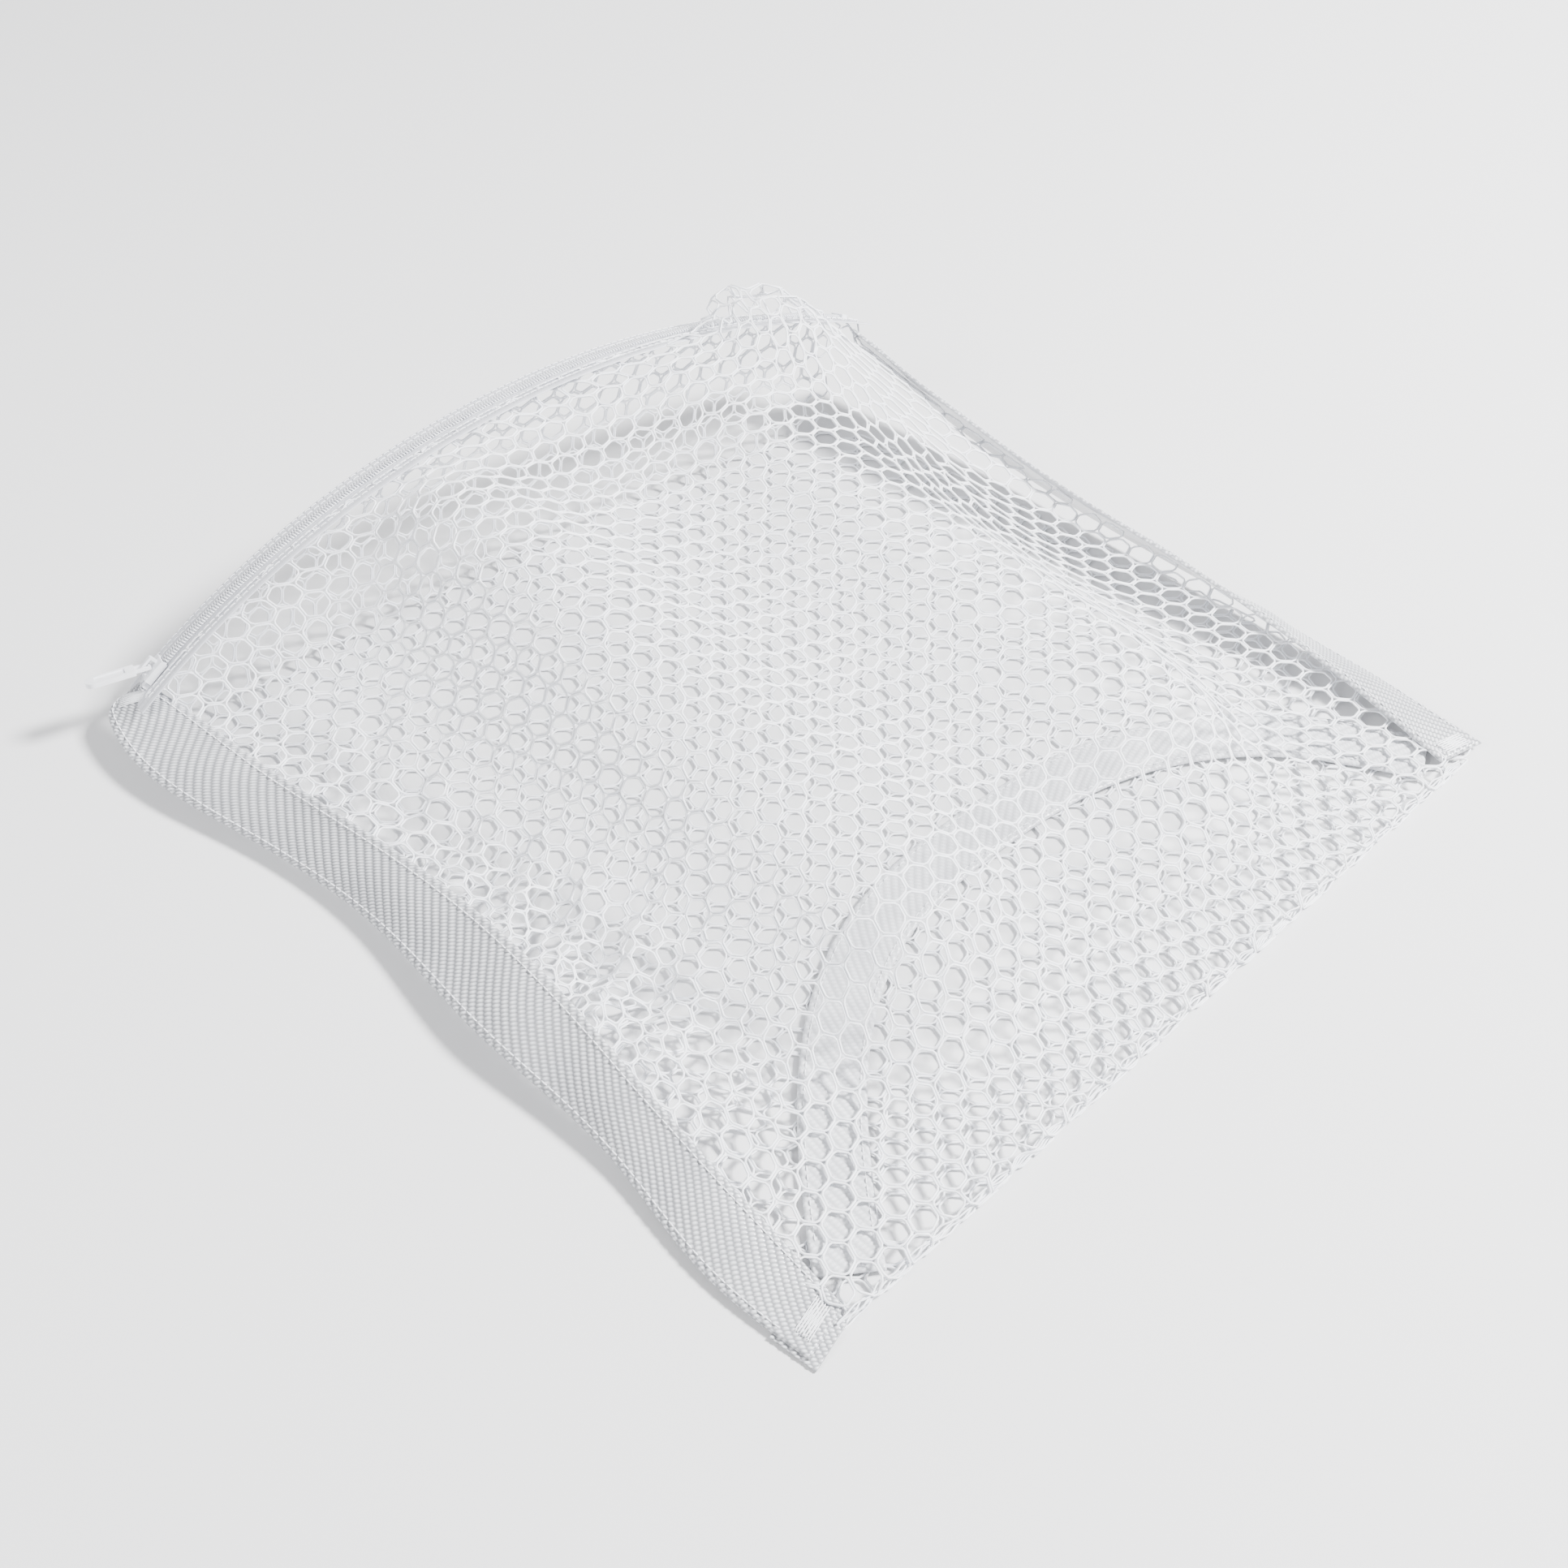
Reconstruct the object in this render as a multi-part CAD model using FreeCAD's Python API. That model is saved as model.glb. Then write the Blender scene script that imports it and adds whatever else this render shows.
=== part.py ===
import FreeCAD, Part
import math
import os

# Mesh laundry bag, zipped shut and filled out by what is inside it, lying on a flat floor.
# Millimetres. +Z is up. +X runs from the zipped mouth to the folded foot, +Y from the front side
# band to the rear one. The origin is on the floor, under the middle of the bag.

Vec = FreeCAD.Vector

# ---------------------------------------------------------------- driving dimensions
FOOT_X = 197.0            # folded foot edge of the mesh
FLOOR_MOUTH_X = -206.0    # where the lower mesh leaves the floor on its way up to the zipper
MESH = 1.6                # thickness of the knitted mesh
BAND = 1.2                # thickness of the twill tape that binds the side seams
THREAD = 0.5              # sewing thread

CHAIN_FRONT = Vec(-219.0, -190.0, 17.0)    # ends of the zipper chain
CHAIN_REAR = Vec(-166.0, 194.0, 50.0)
CHAIN_RISE = 56.0         # how far the middle of the chain stands off the line between its ends
CHAIN_LEAN = 0.0          # degrees that this rise leans outward
TAPE_TURN = 20.0          # degrees that the tapes turn down from the plane across the chain

TAPE_WIDTH = 15.0         # one tape, from the middle of the chain to its outer edge
TAPE_GAP = 1.0            # from the middle of the chain to each tape's inner edge
TAPE = 0.7                # tape thickness
COIL_WIDTH = 2.9          # one row of coil, from the middle of the chain
COIL_GAP = 0.8            # from the middle of the chain to the coil's core
COIL_HEIGHT = 2.0

SLIDER_LENGTH = 11.0
SLIDER_HALF_WIDTH = 4.6
PLATE = 1.2
CLEAR = 0.35              # running clearance of the slider
CROWN_HALF_WIDTH = 1.1
CROWN_LENGTH = 8.0
CROWN_HEIGHT = 3.8
CROWN_WALL = 1.1

PULL_LENGTH = 27.0
PULL_WIDTH = 7.6
PULL_THICK = 2.2
PULL_BAR = 0.75           # radius of the pull's cross bar
PULL_RAISED = 36.0        # degrees that the pull stands off the tape at rest
PULL_ARM = 1.1            # width of each arm beside the crown
PULL_ARM_LENGTH = 6.0

STOP_LENGTH = 2.4
TOP_STOP_INSET = 7.0      # from the chain's front end to the clips at the closed end
BOTTOM_STOP_INSET = 10.0  # from its rear end to the stop at the other
FOOT_BAND_WIDTH = 26.0


# ---------------------------------------------------------------- sheets
def spline(points):
    """A smooth curve through points, read by a fraction of its length."""
    curve = Part.BSplineCurve()
    curve.interpolate([Vec(*p) for p in points])
    total = curve.length()

    def at(t):
        t = min(max(t, 0.0), 1.0)
        return curve.value(curve.parameterAtDistance(t * total, curve.FirstParameter))

    return at


def sheet(surface, low, high, u_span=(0.0, 1.0), v_span=(0.0, 1.0), nu=14, nv=14):
    """A closed sheet between two offsets of surface(u, v), along its normal."""
    step = 0.002

    def spaced(span, count):
        return [span[0] + (span[1] - span[0]) * i / (count - 1) for i in range(count)]

    def normal(u, v):
        across = surface(min(u + step, 1.0), v) - surface(max(u - step, 0.0), v)
        along = surface(u, min(v + step, 1.0)) - surface(u, max(v - step, 0.0))
        return across.cross(along).normalize()

    def skin(offset):
        grid = [[surface(u, v) + normal(u, v) * offset for v in spaced(v_span, nv)]
                for u in spaced(u_span, nu)]
        patch = Part.BSplineSurface()
        patch.buildFromPolesMultsKnots(grid, *clamped(nu, nv))
        return patch

    lower, upper = skin(low), skin(high)
    u0, u1, v0, v1 = lower.bounds()
    sides = [(lower.uIso(u0), upper.uIso(u0)), (lower.uIso(u1), upper.uIso(u1)),
             (lower.vIso(v0), upper.vIso(v0)), (lower.vIso(v1), upper.vIso(v1))]
    faces = [lower.toShape(), upper.toShape()]
    faces += [Part.makeRuledSurface(a.toShape(), b.toShape()) for a, b in sides]
    return closed(faces)


def clamped(nu, nv):
    """Multiplicities, knots, closed ends and degrees of a patch that keeps inside its net of points."""
    degrees = [min(3, count - 1) for count in (nu, nv)]
    knots = [list(range(count - degree + 1)) for count, degree in zip((nu, nv), degrees)]
    mults = [[degree + 1] + [1] * (len(line) - 2) + [degree + 1] for line, degree in zip(knots, degrees)]
    return mults + knots + [False, False] + degrees


def closed(faces):
    """The solid that faces enclose."""
    skin = Part.Compound(faces)
    skin.sewShape()
    solid = Part.Solid(skin.Shells[0])
    if solid.Volume < 0:
        solid.reverse()
    return solid


def between(first, second):
    """The straight-ruled surface from one curve to another."""
    return lambda u, v: first(u) * (1.0 - v) + second(u) * v


def smooth(t):
    """Ease from 0 to 1."""
    t = min(max(t, 0.0), 1.0)
    return t * t * (3.0 - 2.0 * t)


# ---------------------------------------------------------------- the zipper's own frame
LINE = (CHAIN_REAR - CHAIN_FRONT)
CHORD = LINE.Length
ALONG = Vec(LINE).normalize()
LEAN = math.radians(CHAIN_LEAN)
RISE = Vec(-math.sin(LEAN), 0.0, math.cos(LEAN))
RISE = (RISE - ALONG * RISE.dot(ALONG)).normalize()
OUTWARD = RISE.cross(ALONG)
RADIUS = (CHORD ** 2 / 4.0 + CHAIN_RISE ** 2) / (2.0 * CHAIN_RISE)
HALF_ANGLE = math.asin(CHORD / 2.0 / RADIUS)
CENTRE = (CHAIN_FRONT + CHAIN_REAR) * 0.5 - RISE * (RADIUS - CHAIN_RISE)
TURN = math.radians(TAPE_TURN)


def radial(angle):
    return ALONG * math.sin(angle) + RISE * math.cos(angle)


def chain(angle, across, above):
    """A point of the zipper: across the tapes, outward positive, and above their face."""
    wide = OUTWARD * math.cos(TURN) - radial(angle) * math.sin(TURN)
    face = radial(angle) * math.cos(TURN) + OUTWARD * math.sin(TURN)
    return CENTRE + radial(angle) * RADIUS + wide * across + face * above


def swept(outline, start, end):
    """An outline of (across, above) points, turned about the chain's centre."""
    points = [chain(start, a, b) for a, b in outline]
    face = Part.Face(Part.makePolygon(points + points[:1]))
    return face.revolve(CENTRE, OUTWARD, math.degrees(end - start))


def box_outline(a0, a1, b0, b1):
    return [(a0, b0), (a1, b0), (a1, b1), (a0, b1)]


def arc(length):
    """The angle that a length along the chain takes."""
    return length / RADIUS


TOP_STOP_START = -HALF_ANGLE + arc(TOP_STOP_INSET)
SLIDER_START = TOP_STOP_START + arc(STOP_LENGTH + 0.5)
SLIDER_MID = SLIDER_START + arc(SLIDER_LENGTH / 2.0)
BOTTOM_STOP_START = HALF_ANGLE - arc(BOTTOM_STOP_INSET)


def zipper_tape(side):
    inner, outer = side * TAPE_GAP, side * TAPE_WIDTH
    return swept(box_outline(inner, outer, 0.0, TAPE), -HALF_ANGLE, HALF_ANGLE)


def zipper_coil(side):
    inner, outer = side * COIL_GAP, side * COIL_WIDTH
    middle = (inner + outer) / 2.0
    outline = [(inner, TAPE), (outer, TAPE), (outer, TAPE + 0.6 * COIL_HEIGHT),
               (middle, TAPE + COIL_HEIGHT), (inner, TAPE + 0.8 * COIL_HEIGHT)]
    return swept(outline, TOP_STOP_START + arc(STOP_LENGTH), BOTTOM_STOP_START)


def top_stops():
    """One crimped clip on the end of each coil row."""
    clips = []
    for side in (-1, 1):
        outline = box_outline(side * COIL_GAP, side * (COIL_WIDTH + 0.6), TAPE, TAPE + COIL_HEIGHT + 0.3)
        clips.append(swept(outline, TOP_STOP_START, TOP_STOP_START + arc(STOP_LENGTH)))
    return Part.Compound(clips)


def bottom_stop():
    half = COIL_WIDTH + 0.9
    outline = box_outline(-half, half, TAPE, TAPE + COIL_HEIGHT + 0.5)
    return swept(outline, BOTTOM_STOP_START, BOTTOM_STOP_START + arc(STOP_LENGTH + 1.0))


def slider_body():
    """Top and bottom plates with turned-in flanges, joined by the post that parts the rows."""
    end = SLIDER_START + arc(SLIDER_LENGTH)
    half = SLIDER_HALF_WIDTH
    top = TAPE + COIL_HEIGHT + CLEAR
    plates = [swept(box_outline(-half, half, top, top + PLATE), SLIDER_START, end),
              swept(box_outline(-half, half, -CLEAR - PLATE, -CLEAR), SLIDER_START, end)]
    for side in (-1, 1):
        outline = box_outline(side * (COIL_WIDTH + CLEAR), side * half, TAPE + CLEAR, top)
        plates.append(swept(outline, SLIDER_START, end))
    post = box_outline(-COIL_GAP + CLEAR, COIL_GAP - CLEAR, -CLEAR, top)
    plates.append(swept(post, SLIDER_START, SLIDER_START + arc(3.0)))
    body = plates[0]
    for piece in plates[1:]:
        body = body.fuse(piece)
    return body.removeSplitter()


PLATE_TOP = TAPE + COIL_HEIGHT + CLEAR + PLATE
PIVOT_HEIGHT = PLATE_TOP + PULL_BAR + 0.55


def slider_frame():
    """Placement with X along the chain to its rear end, Y across it and Z off the slider's face."""
    origin = chain(SLIDER_MID, 0.0, 0.0)
    off = (chain(SLIDER_MID, 0.0, 1.0) - origin).normalize()
    across = (chain(SLIDER_MID, 1.0, 0.0) - origin).normalize()
    forward = across.cross(off)
    turn = FreeCAD.Rotation(forward, across, off, "ZXY")
    return FreeCAD.Placement(origin, turn), forward, across, off


def slider_crown():
    """The arch crimped on the slider, with the gap that the pull's bar lies in."""
    place = slider_frame()[0]
    height = CROWN_HEIGHT
    outer = Part.makeBox(CROWN_LENGTH, 2 * CROWN_HALF_WIDTH, height,
                         Vec(-CROWN_LENGTH / 2, -CROWN_HALF_WIDTH, PLATE_TOP))
    gap = Part.makeBox(CROWN_LENGTH - 2 * CROWN_WALL, 4 * CROWN_HALF_WIDTH, height - CROWN_WALL,
                       Vec(-CROWN_LENGTH / 2 + CROWN_WALL, -2 * CROWN_HALF_WIDTH, PLATE_TOP))
    arch = outer.cut(gap)
    corners = [edge for edge in arch.Edges
               if abs(edge.CenterOfMass.z - PLATE_TOP - height) < 0.01
               and abs(abs(edge.CenterOfMass.x) - CROWN_LENGTH / 2) < 0.01]
    arch = arch.makeFillet(0.9, corners)
    arch.Placement = place
    return arch


def pull_tab():
    """Cross bar under the crown, two arms beside it and the tab with its finger recess."""
    place, forward, across, off = slider_frame()
    half = PULL_WIDTH / 2.0
    reach = PULL_ARM_LENGTH
    blade = Part.makeBox(PULL_LENGTH - reach, PULL_WIDTH, PULL_THICK,
                         Vec(-PULL_LENGTH, -half, -PULL_THICK / 2))
    ends = [e for e in blade.Edges
            if abs(e.CenterOfMass.x + PULL_LENGTH) < 0.01 and abs(e.CenterOfMass.z) < 0.01]
    blade = blade.makeFillet(half - 0.2, ends)
    recess = Part.makeBox(PULL_LENGTH - reach - 8.0, PULL_WIDTH - 3.0, 0.5,
                          Vec(-PULL_LENGTH + 4.0, -half + 1.5, PULL_THICK / 2 - 0.5))
    tab = blade.cut(recess)
    inner = CROWN_HALF_WIDTH + CLEAR
    for side in (-1, 1):
        start = inner if side > 0 else -inner - PULL_ARM
        tab = tab.fuse(Part.makeBox(reach + PULL_BAR, PULL_ARM, 2 * PULL_BAR,
                                    Vec(-reach, start, -PULL_BAR)))
    bar = Part.makeCylinder(PULL_BAR, 2 * (inner + PULL_ARM), Vec(0, -inner - PULL_ARM, 0), Vec(0, 1, 0))
    tab = tab.fuse(bar).removeSplitter()
    tab.rotate(Vec(0, 0, 0), Vec(0, 1, 0), PULL_RAISED)
    tab.translate(Vec(0, 0, PIVOT_HEIGHT))
    tab.Placement = place.multiply(tab.Placement)
    return tab


# ---------------------------------------------------------------- the side bands
front_low = spline([(-221, -203, 12), (-136, -200, 6), (-55, -191, 6), (20, -198, 10),
                    (87, -197, 5), (150, -206, 2.5), (197, -203, 1.5)])
front_high = spline([(-212, -181, 21), (-144, -176, 21), (-60, -167, 22), (30, -169, 25),
                     (90, -175, 19), (144, -178, 9), (192, -181, 3.5)])
rear_low = spline([(-166, 206, 25), (-100, 206, 12), (-20, 205, 6), (60, 207, 5), (140, 209, 4),
                   (196, 208, 3)])
rear_high = spline([(-156, 184, 55), (-90, 184, 42), (-10, 187, 30), (70, 190, 22), (140, 190, 11),
                    (191, 184, 5)])
front_surface = between(front_low, front_high)
rear_surface = between(rear_high, rear_low)

foot_near = spline([(184, -170, 0), (120, -112, 0), (84, -50, 0), (78, 20, 0), (90, 90, 0),
                    (130, 150, 0), (184, 184, 0)])


def foot_surface(u, v):
    """The band over the foot seam, rolled under the bag in a bow between the foot corners."""
    point = foot_near(u)
    ahead = foot_near(min(u + 0.01, 1.0)) - foot_near(max(u - 0.01, 0.0))
    side = Vec(ahead.y, -ahead.x, 0).normalize()
    fade = smooth(min(u, 1.0 - u) / 0.08)
    return point - side * (FOOT_BAND_WIDTH * (0.55 + 0.45 * fade) * (v - 0.5)) + Vec(0, 0, MESH)


def stitches(surface, rows, length, pitch, inset, thickness, nu=3):
    """Rows of short threads on a band, each lying along it."""
    threads = []
    count = int((1.0 - 2.0 * inset) / pitch)
    for row in rows:
        for i in range(count):
            start = inset + pitch * i
            spot = sheet(surface, thickness, thickness + THREAD, (start, start + length),
                         (row - 0.011, row + 0.011), nu, 3)
            threads.append(spot)
    return Part.Compound(threads)


# ---------------------------------------------------------------- the mesh panels
PANEL_GAP = 0.9          # along the sheet, between a panel's edge and the band that binds it
SIDE_GAP = 3.7           # sideways, between the upper panel's edge and a side band


def ridge(x):
    """Height of the filled bag along its middle: heel, instep and toe of what it holds."""
    stations = [(-200, 92), (-172, 102), (-135, 101), (-70, 84), (0, 69), (60, 59), (110, 49),
                (155, 20), (185, 6), (200, 4)]
    for (x0, z0), (x1, z1) in zip(stations, stations[1:]):
        if x <= x1:
            return z0 + (z1 - z0) * smooth((x - x0) / (x1 - x0))
    return stations[-1][1]


def upper_surface(u, v):
    """Upper panel, from the zipper (u = 0) to the foot, and from front band to rear band."""
    mouth = chain(HALF_ANGLE * (2.0 * v - 1.0), -TAPE_WIDTH - PANEL_GAP, TAPE / 2)
    foot = Vec(FOOT_X, -181 + 365 * v, 4.0)
    front, rear = front_high(u), rear_high(u)
    front = front + Vec(0, SIDE_GAP, PANEL_GAP)
    rear = rear + Vec(0, -SIDE_GAP, PANEL_GAP)
    corners = [(front_high(0.0), rear_high(0.0)), (front_high(1.0), rear_high(1.0))]
    fade_mouth = (1.0 - u) ** 2
    fade_foot = u ** 2
    base = front * (1.0 - v) + rear * v
    base = base + (mouth - corners[0][0] * (1.0 - v) - corners[0][1] * v) * fade_mouth
    base = base + (foot - corners[1][0] * (1.0 - v) - corners[1][1] * v) * fade_foot
    half = max(abs(base.y), 0.1)
    plateau = 1.0 - smooth((half - 96.0) / 92.0)
    valley = 1.0 - 0.08 * math.exp(-(base.y / 26.0) ** 2)
    lift = smooth(u / 0.08) * smooth((1.0 - u) / 0.12)
    height = ridge(base.x) * valley
    rise = max(height - base.z, 0.0) * plateau * lift
    return Vec(base.x, base.y, max(base.z + rise, 4.0))


def wall_surface(u, v):
    """The lower mesh where it climbs from the floor to the zipper's outer tape."""
    angle = HALF_ANGLE * (2.0 * u - 1.0)
    top = chain(angle, TAPE_WIDTH + PANEL_GAP, TAPE / 2)
    foot = Vec(FLOOR_MOUTH_X + 44.0 * u ** 2, -182.0 + 350.0 * u, MESH / 2)
    bulge = math.sin(math.pi * v) * 0.12 * (top.z - foot.z)
    return foot * (1.0 - v) + top * v + Vec(-bulge, 0, 0)


def lower_panel():
    """The flat bottom on the floor, joined to the wall below the zipper."""
    outline = [(-206, -182), (-136, -192), (-55, -184), (20, -188), (90, -190), (150, -197),
               (FOOT_X, -199), (FOOT_X, 203), (60, 199), (-60, 196), (-162, 168), (-195, 0)]
    points = [Vec(x, y, 0) for x, y in outline]
    bottom = Part.Face(Part.makePolygon(points + points[:1])).extrude(Vec(0, 0, MESH))
    wall = sheet(wall_surface, -MESH / 2, MESH / 2, nu=12, nv=7)
    return bottom.fuse(wall)


def bar_tacks():
    """Dense stitching that closes the seam ends at the four corners."""
    tacks = []
    for surface, low, high in ((front_surface, 0.012, 0.034), (front_surface, 0.964, 0.986),
                               (rear_surface, 0.012, 0.034), (rear_surface, 0.964, 0.986)):
        tacks.append(sheet(surface, BAND, BAND + THREAD, (low, high), (0.2, 0.8), 4, 6))
    return Part.Compound(tacks)


def tape_stitching(side):
    """Two rows of thread that hold one zipper tape to the mesh."""
    threads = []
    pitch, length = arc(3.6), arc(2.6)
    count = int((2 * HALF_ANGLE - arc(14)) / pitch)
    for row in (8.5, 12.5):
        outline = box_outline(side * row - 0.25, side * row + 0.25, TAPE, TAPE + THREAD)
        for i in range(count):
            start = -HALF_ANGLE + arc(7) + pitch * i
            threads.append(swept(outline, start, start + length))
    return Part.Compound(threads)


NODES = {
    "upper_mesh_panel": lambda: sheet(upper_surface, -MESH / 2, MESH / 2, nu=24, nv=24),
    "lower_mesh_panel": lower_panel,
    "front_side_band": lambda: sheet(front_surface, 0.0, BAND, nu=48, nv=4),
    "rear_side_band": lambda: sheet(rear_surface, 0.0, BAND, nu=40, nv=4),
    "foot_band": lambda: sheet(foot_surface, 0.0, BAND, nu=24, nv=3),
    "zipper_tape_upper": lambda: zipper_tape(-1),
    "zipper_tape_lower": lambda: zipper_tape(1),
    "zipper_coil_upper": lambda: zipper_coil(-1),
    "zipper_coil_lower": lambda: zipper_coil(1),
    "zipper_top_stops": top_stops,
    "zipper_bottom_stop": bottom_stop,
    "slider_body": slider_body,
    "slider_crown": slider_crown,
    "pull_tab": pull_tab,
    "front_band_stitching": lambda: stitches(front_surface, (0.12, 0.86), 0.0068, 0.0095, 0.04, BAND),
    "rear_band_stitching": lambda: stitches(rear_surface, (0.14, 0.88), 0.0078, 0.0108, 0.04, BAND),
    "foot_band_stitching": lambda: stitches(foot_surface, (0.15, 0.85), 0.0068, 0.0095, 0.06, BAND),
    "zipper_stitching_upper": lambda: tape_stitching(-1),
    "zipper_stitching_lower": lambda: tape_stitching(1),
    "corner_bar_tacks": bar_tacks,
}


def main():
    os.makedirs("parts", exist_ok=True)
    for name, build in NODES.items():
        shape = build()
        shape.exportStep("parts/" + name + ".step")
        box = shape.BoundBox
        print("%-24s valid %s solids %3d volume %9.1f  x %.1f..%.1f y %.1f..%.1f z %.2f..%.2f" % (
            name, shape.isValid(), len(shape.Solids), shape.Volume, box.XMin, box.XMax, box.YMin,
            box.YMax, box.ZMin, box.ZMax))
    place, forward, across, off = slider_frame()
    pivot = place.multVec(Vec(0, 0, PIVOT_HEIGHT))
    travel = BOTTOM_STOP_START - arc(0.5) - (SLIDER_START + arc(SLIDER_LENGTH))
    print("chain centre", CENTRE, "axis", OUTWARD, "radius", RADIUS)
    print("slider travel deg", math.degrees(travel), "mm", travel * RADIUS)
    print("pull pivot", pivot, "axis", across)


main()
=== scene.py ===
"""Looks of a mesh laundry bag: net panels, twill bands, coil zipper, slider and pull.

Every length is in metres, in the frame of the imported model: +X from the zipped mouth to the folded
foot, +Y from the front side band to the rear one, +Z up, and the floor at Z = 0.
"""
from __future__ import annotations

import logging
import math
from dataclasses import dataclass, field
from enum import Enum

import bpy
import numpy as np
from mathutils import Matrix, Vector


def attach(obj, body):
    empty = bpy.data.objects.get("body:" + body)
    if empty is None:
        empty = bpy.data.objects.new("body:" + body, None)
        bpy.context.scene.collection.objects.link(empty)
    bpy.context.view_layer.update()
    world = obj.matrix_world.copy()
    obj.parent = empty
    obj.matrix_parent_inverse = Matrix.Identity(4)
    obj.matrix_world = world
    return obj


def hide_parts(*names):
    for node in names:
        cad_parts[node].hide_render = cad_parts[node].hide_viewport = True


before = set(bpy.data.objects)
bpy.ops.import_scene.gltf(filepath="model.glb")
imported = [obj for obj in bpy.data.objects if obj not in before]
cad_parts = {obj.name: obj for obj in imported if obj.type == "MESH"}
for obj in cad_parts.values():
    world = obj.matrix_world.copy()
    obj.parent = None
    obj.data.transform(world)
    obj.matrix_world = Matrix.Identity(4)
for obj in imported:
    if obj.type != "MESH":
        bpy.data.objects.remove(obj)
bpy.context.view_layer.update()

LOG = logging.getLogger("laundry_bag")
MM = 0.001
BAG = "bag"          # the body that everything made here rides on


# ---------------------------------------------------------------- curves and surfaces
def ease(values: np.ndarray) -> np.ndarray:
    """Ease from 0 to 1.

    Args:
        values: numbers, held to the range 0 to 1.

    Returns:
        The eased numbers.
    """
    held = np.clip(values, 0.0, 1.0)
    return held * held * (3.0 - 2.0 * held)


def unit(vectors: np.ndarray) -> np.ndarray:
    """Scale vectors to length one.

    Args:
        vectors: array whose last axis holds x, y and z.

    Returns:
        The same directions with length one.
    """
    length = np.linalg.norm(vectors, axis=-1, keepdims=True)
    return vectors / np.maximum(length, 1e-12)


class SmoothLine:
    """A smooth curve through a few points, read by a fraction of its length."""

    def __init__(self, points: list[tuple[float, float, float]], scale: float = MM) -> None:
        """Fit a natural cubic spline.

        Args:
            points: the points that it passes through.
            scale: metres in one unit of those points.
        """
        knots = np.array(points, float) * scale
        chord = np.concatenate([[0.0], np.cumsum(np.linalg.norm(np.diff(knots, axis=0), axis=1))])
        dense = np.linspace(0.0, chord[-1], 600)
        self.points = self._spline(chord, knots, dense)
        steps = np.linalg.norm(np.diff(self.points, axis=0), axis=1)
        self.share = np.concatenate([[0.0], np.cumsum(steps)])
        self.length = float(self.share[-1])
        self.share /= self.length

    @staticmethod
    def _spline(chord: np.ndarray, knots: np.ndarray, at: np.ndarray) -> np.ndarray:
        """Evaluate the natural cubic spline.

        Args:
            chord: parameter of each knot.
            knots: the points.
            at: parameters to evaluate.

        Returns:
            One point for each parameter.
        """
        gap = np.diff(chord)
        size = len(chord)
        system = np.eye(size)
        right = np.zeros((size, 3))
        for i in range(1, size - 1):
            system[i, i - 1:i + 2] = gap[i - 1], 2.0 * (gap[i - 1] + gap[i]), gap[i]
            right[i] = 6.0 * ((knots[i + 1] - knots[i]) / gap[i] - (knots[i] - knots[i - 1]) / gap[i - 1])
        bend = np.linalg.solve(system, right)
        spot = np.clip(np.searchsorted(chord, at, side="right") - 1, 0, size - 2)
        width = gap[spot][:, None]
        before = (at - chord[spot])[:, None] / width
        after = 1.0 - before
        curve = (after ** 3 - after) * bend[spot] + (before ** 3 - before) * bend[spot + 1]
        return after * knots[spot] + before * knots[spot + 1] + curve * width ** 2 / 6.0

    def at(self, shares: np.ndarray) -> np.ndarray:
        """Return the points at fractions of the length."""
        held = np.clip(np.asarray(shares, float), 0.0, 1.0)
        return np.stack([np.interp(held, self.share, self.points[:, k]) for k in range(3)], axis=-1)


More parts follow.
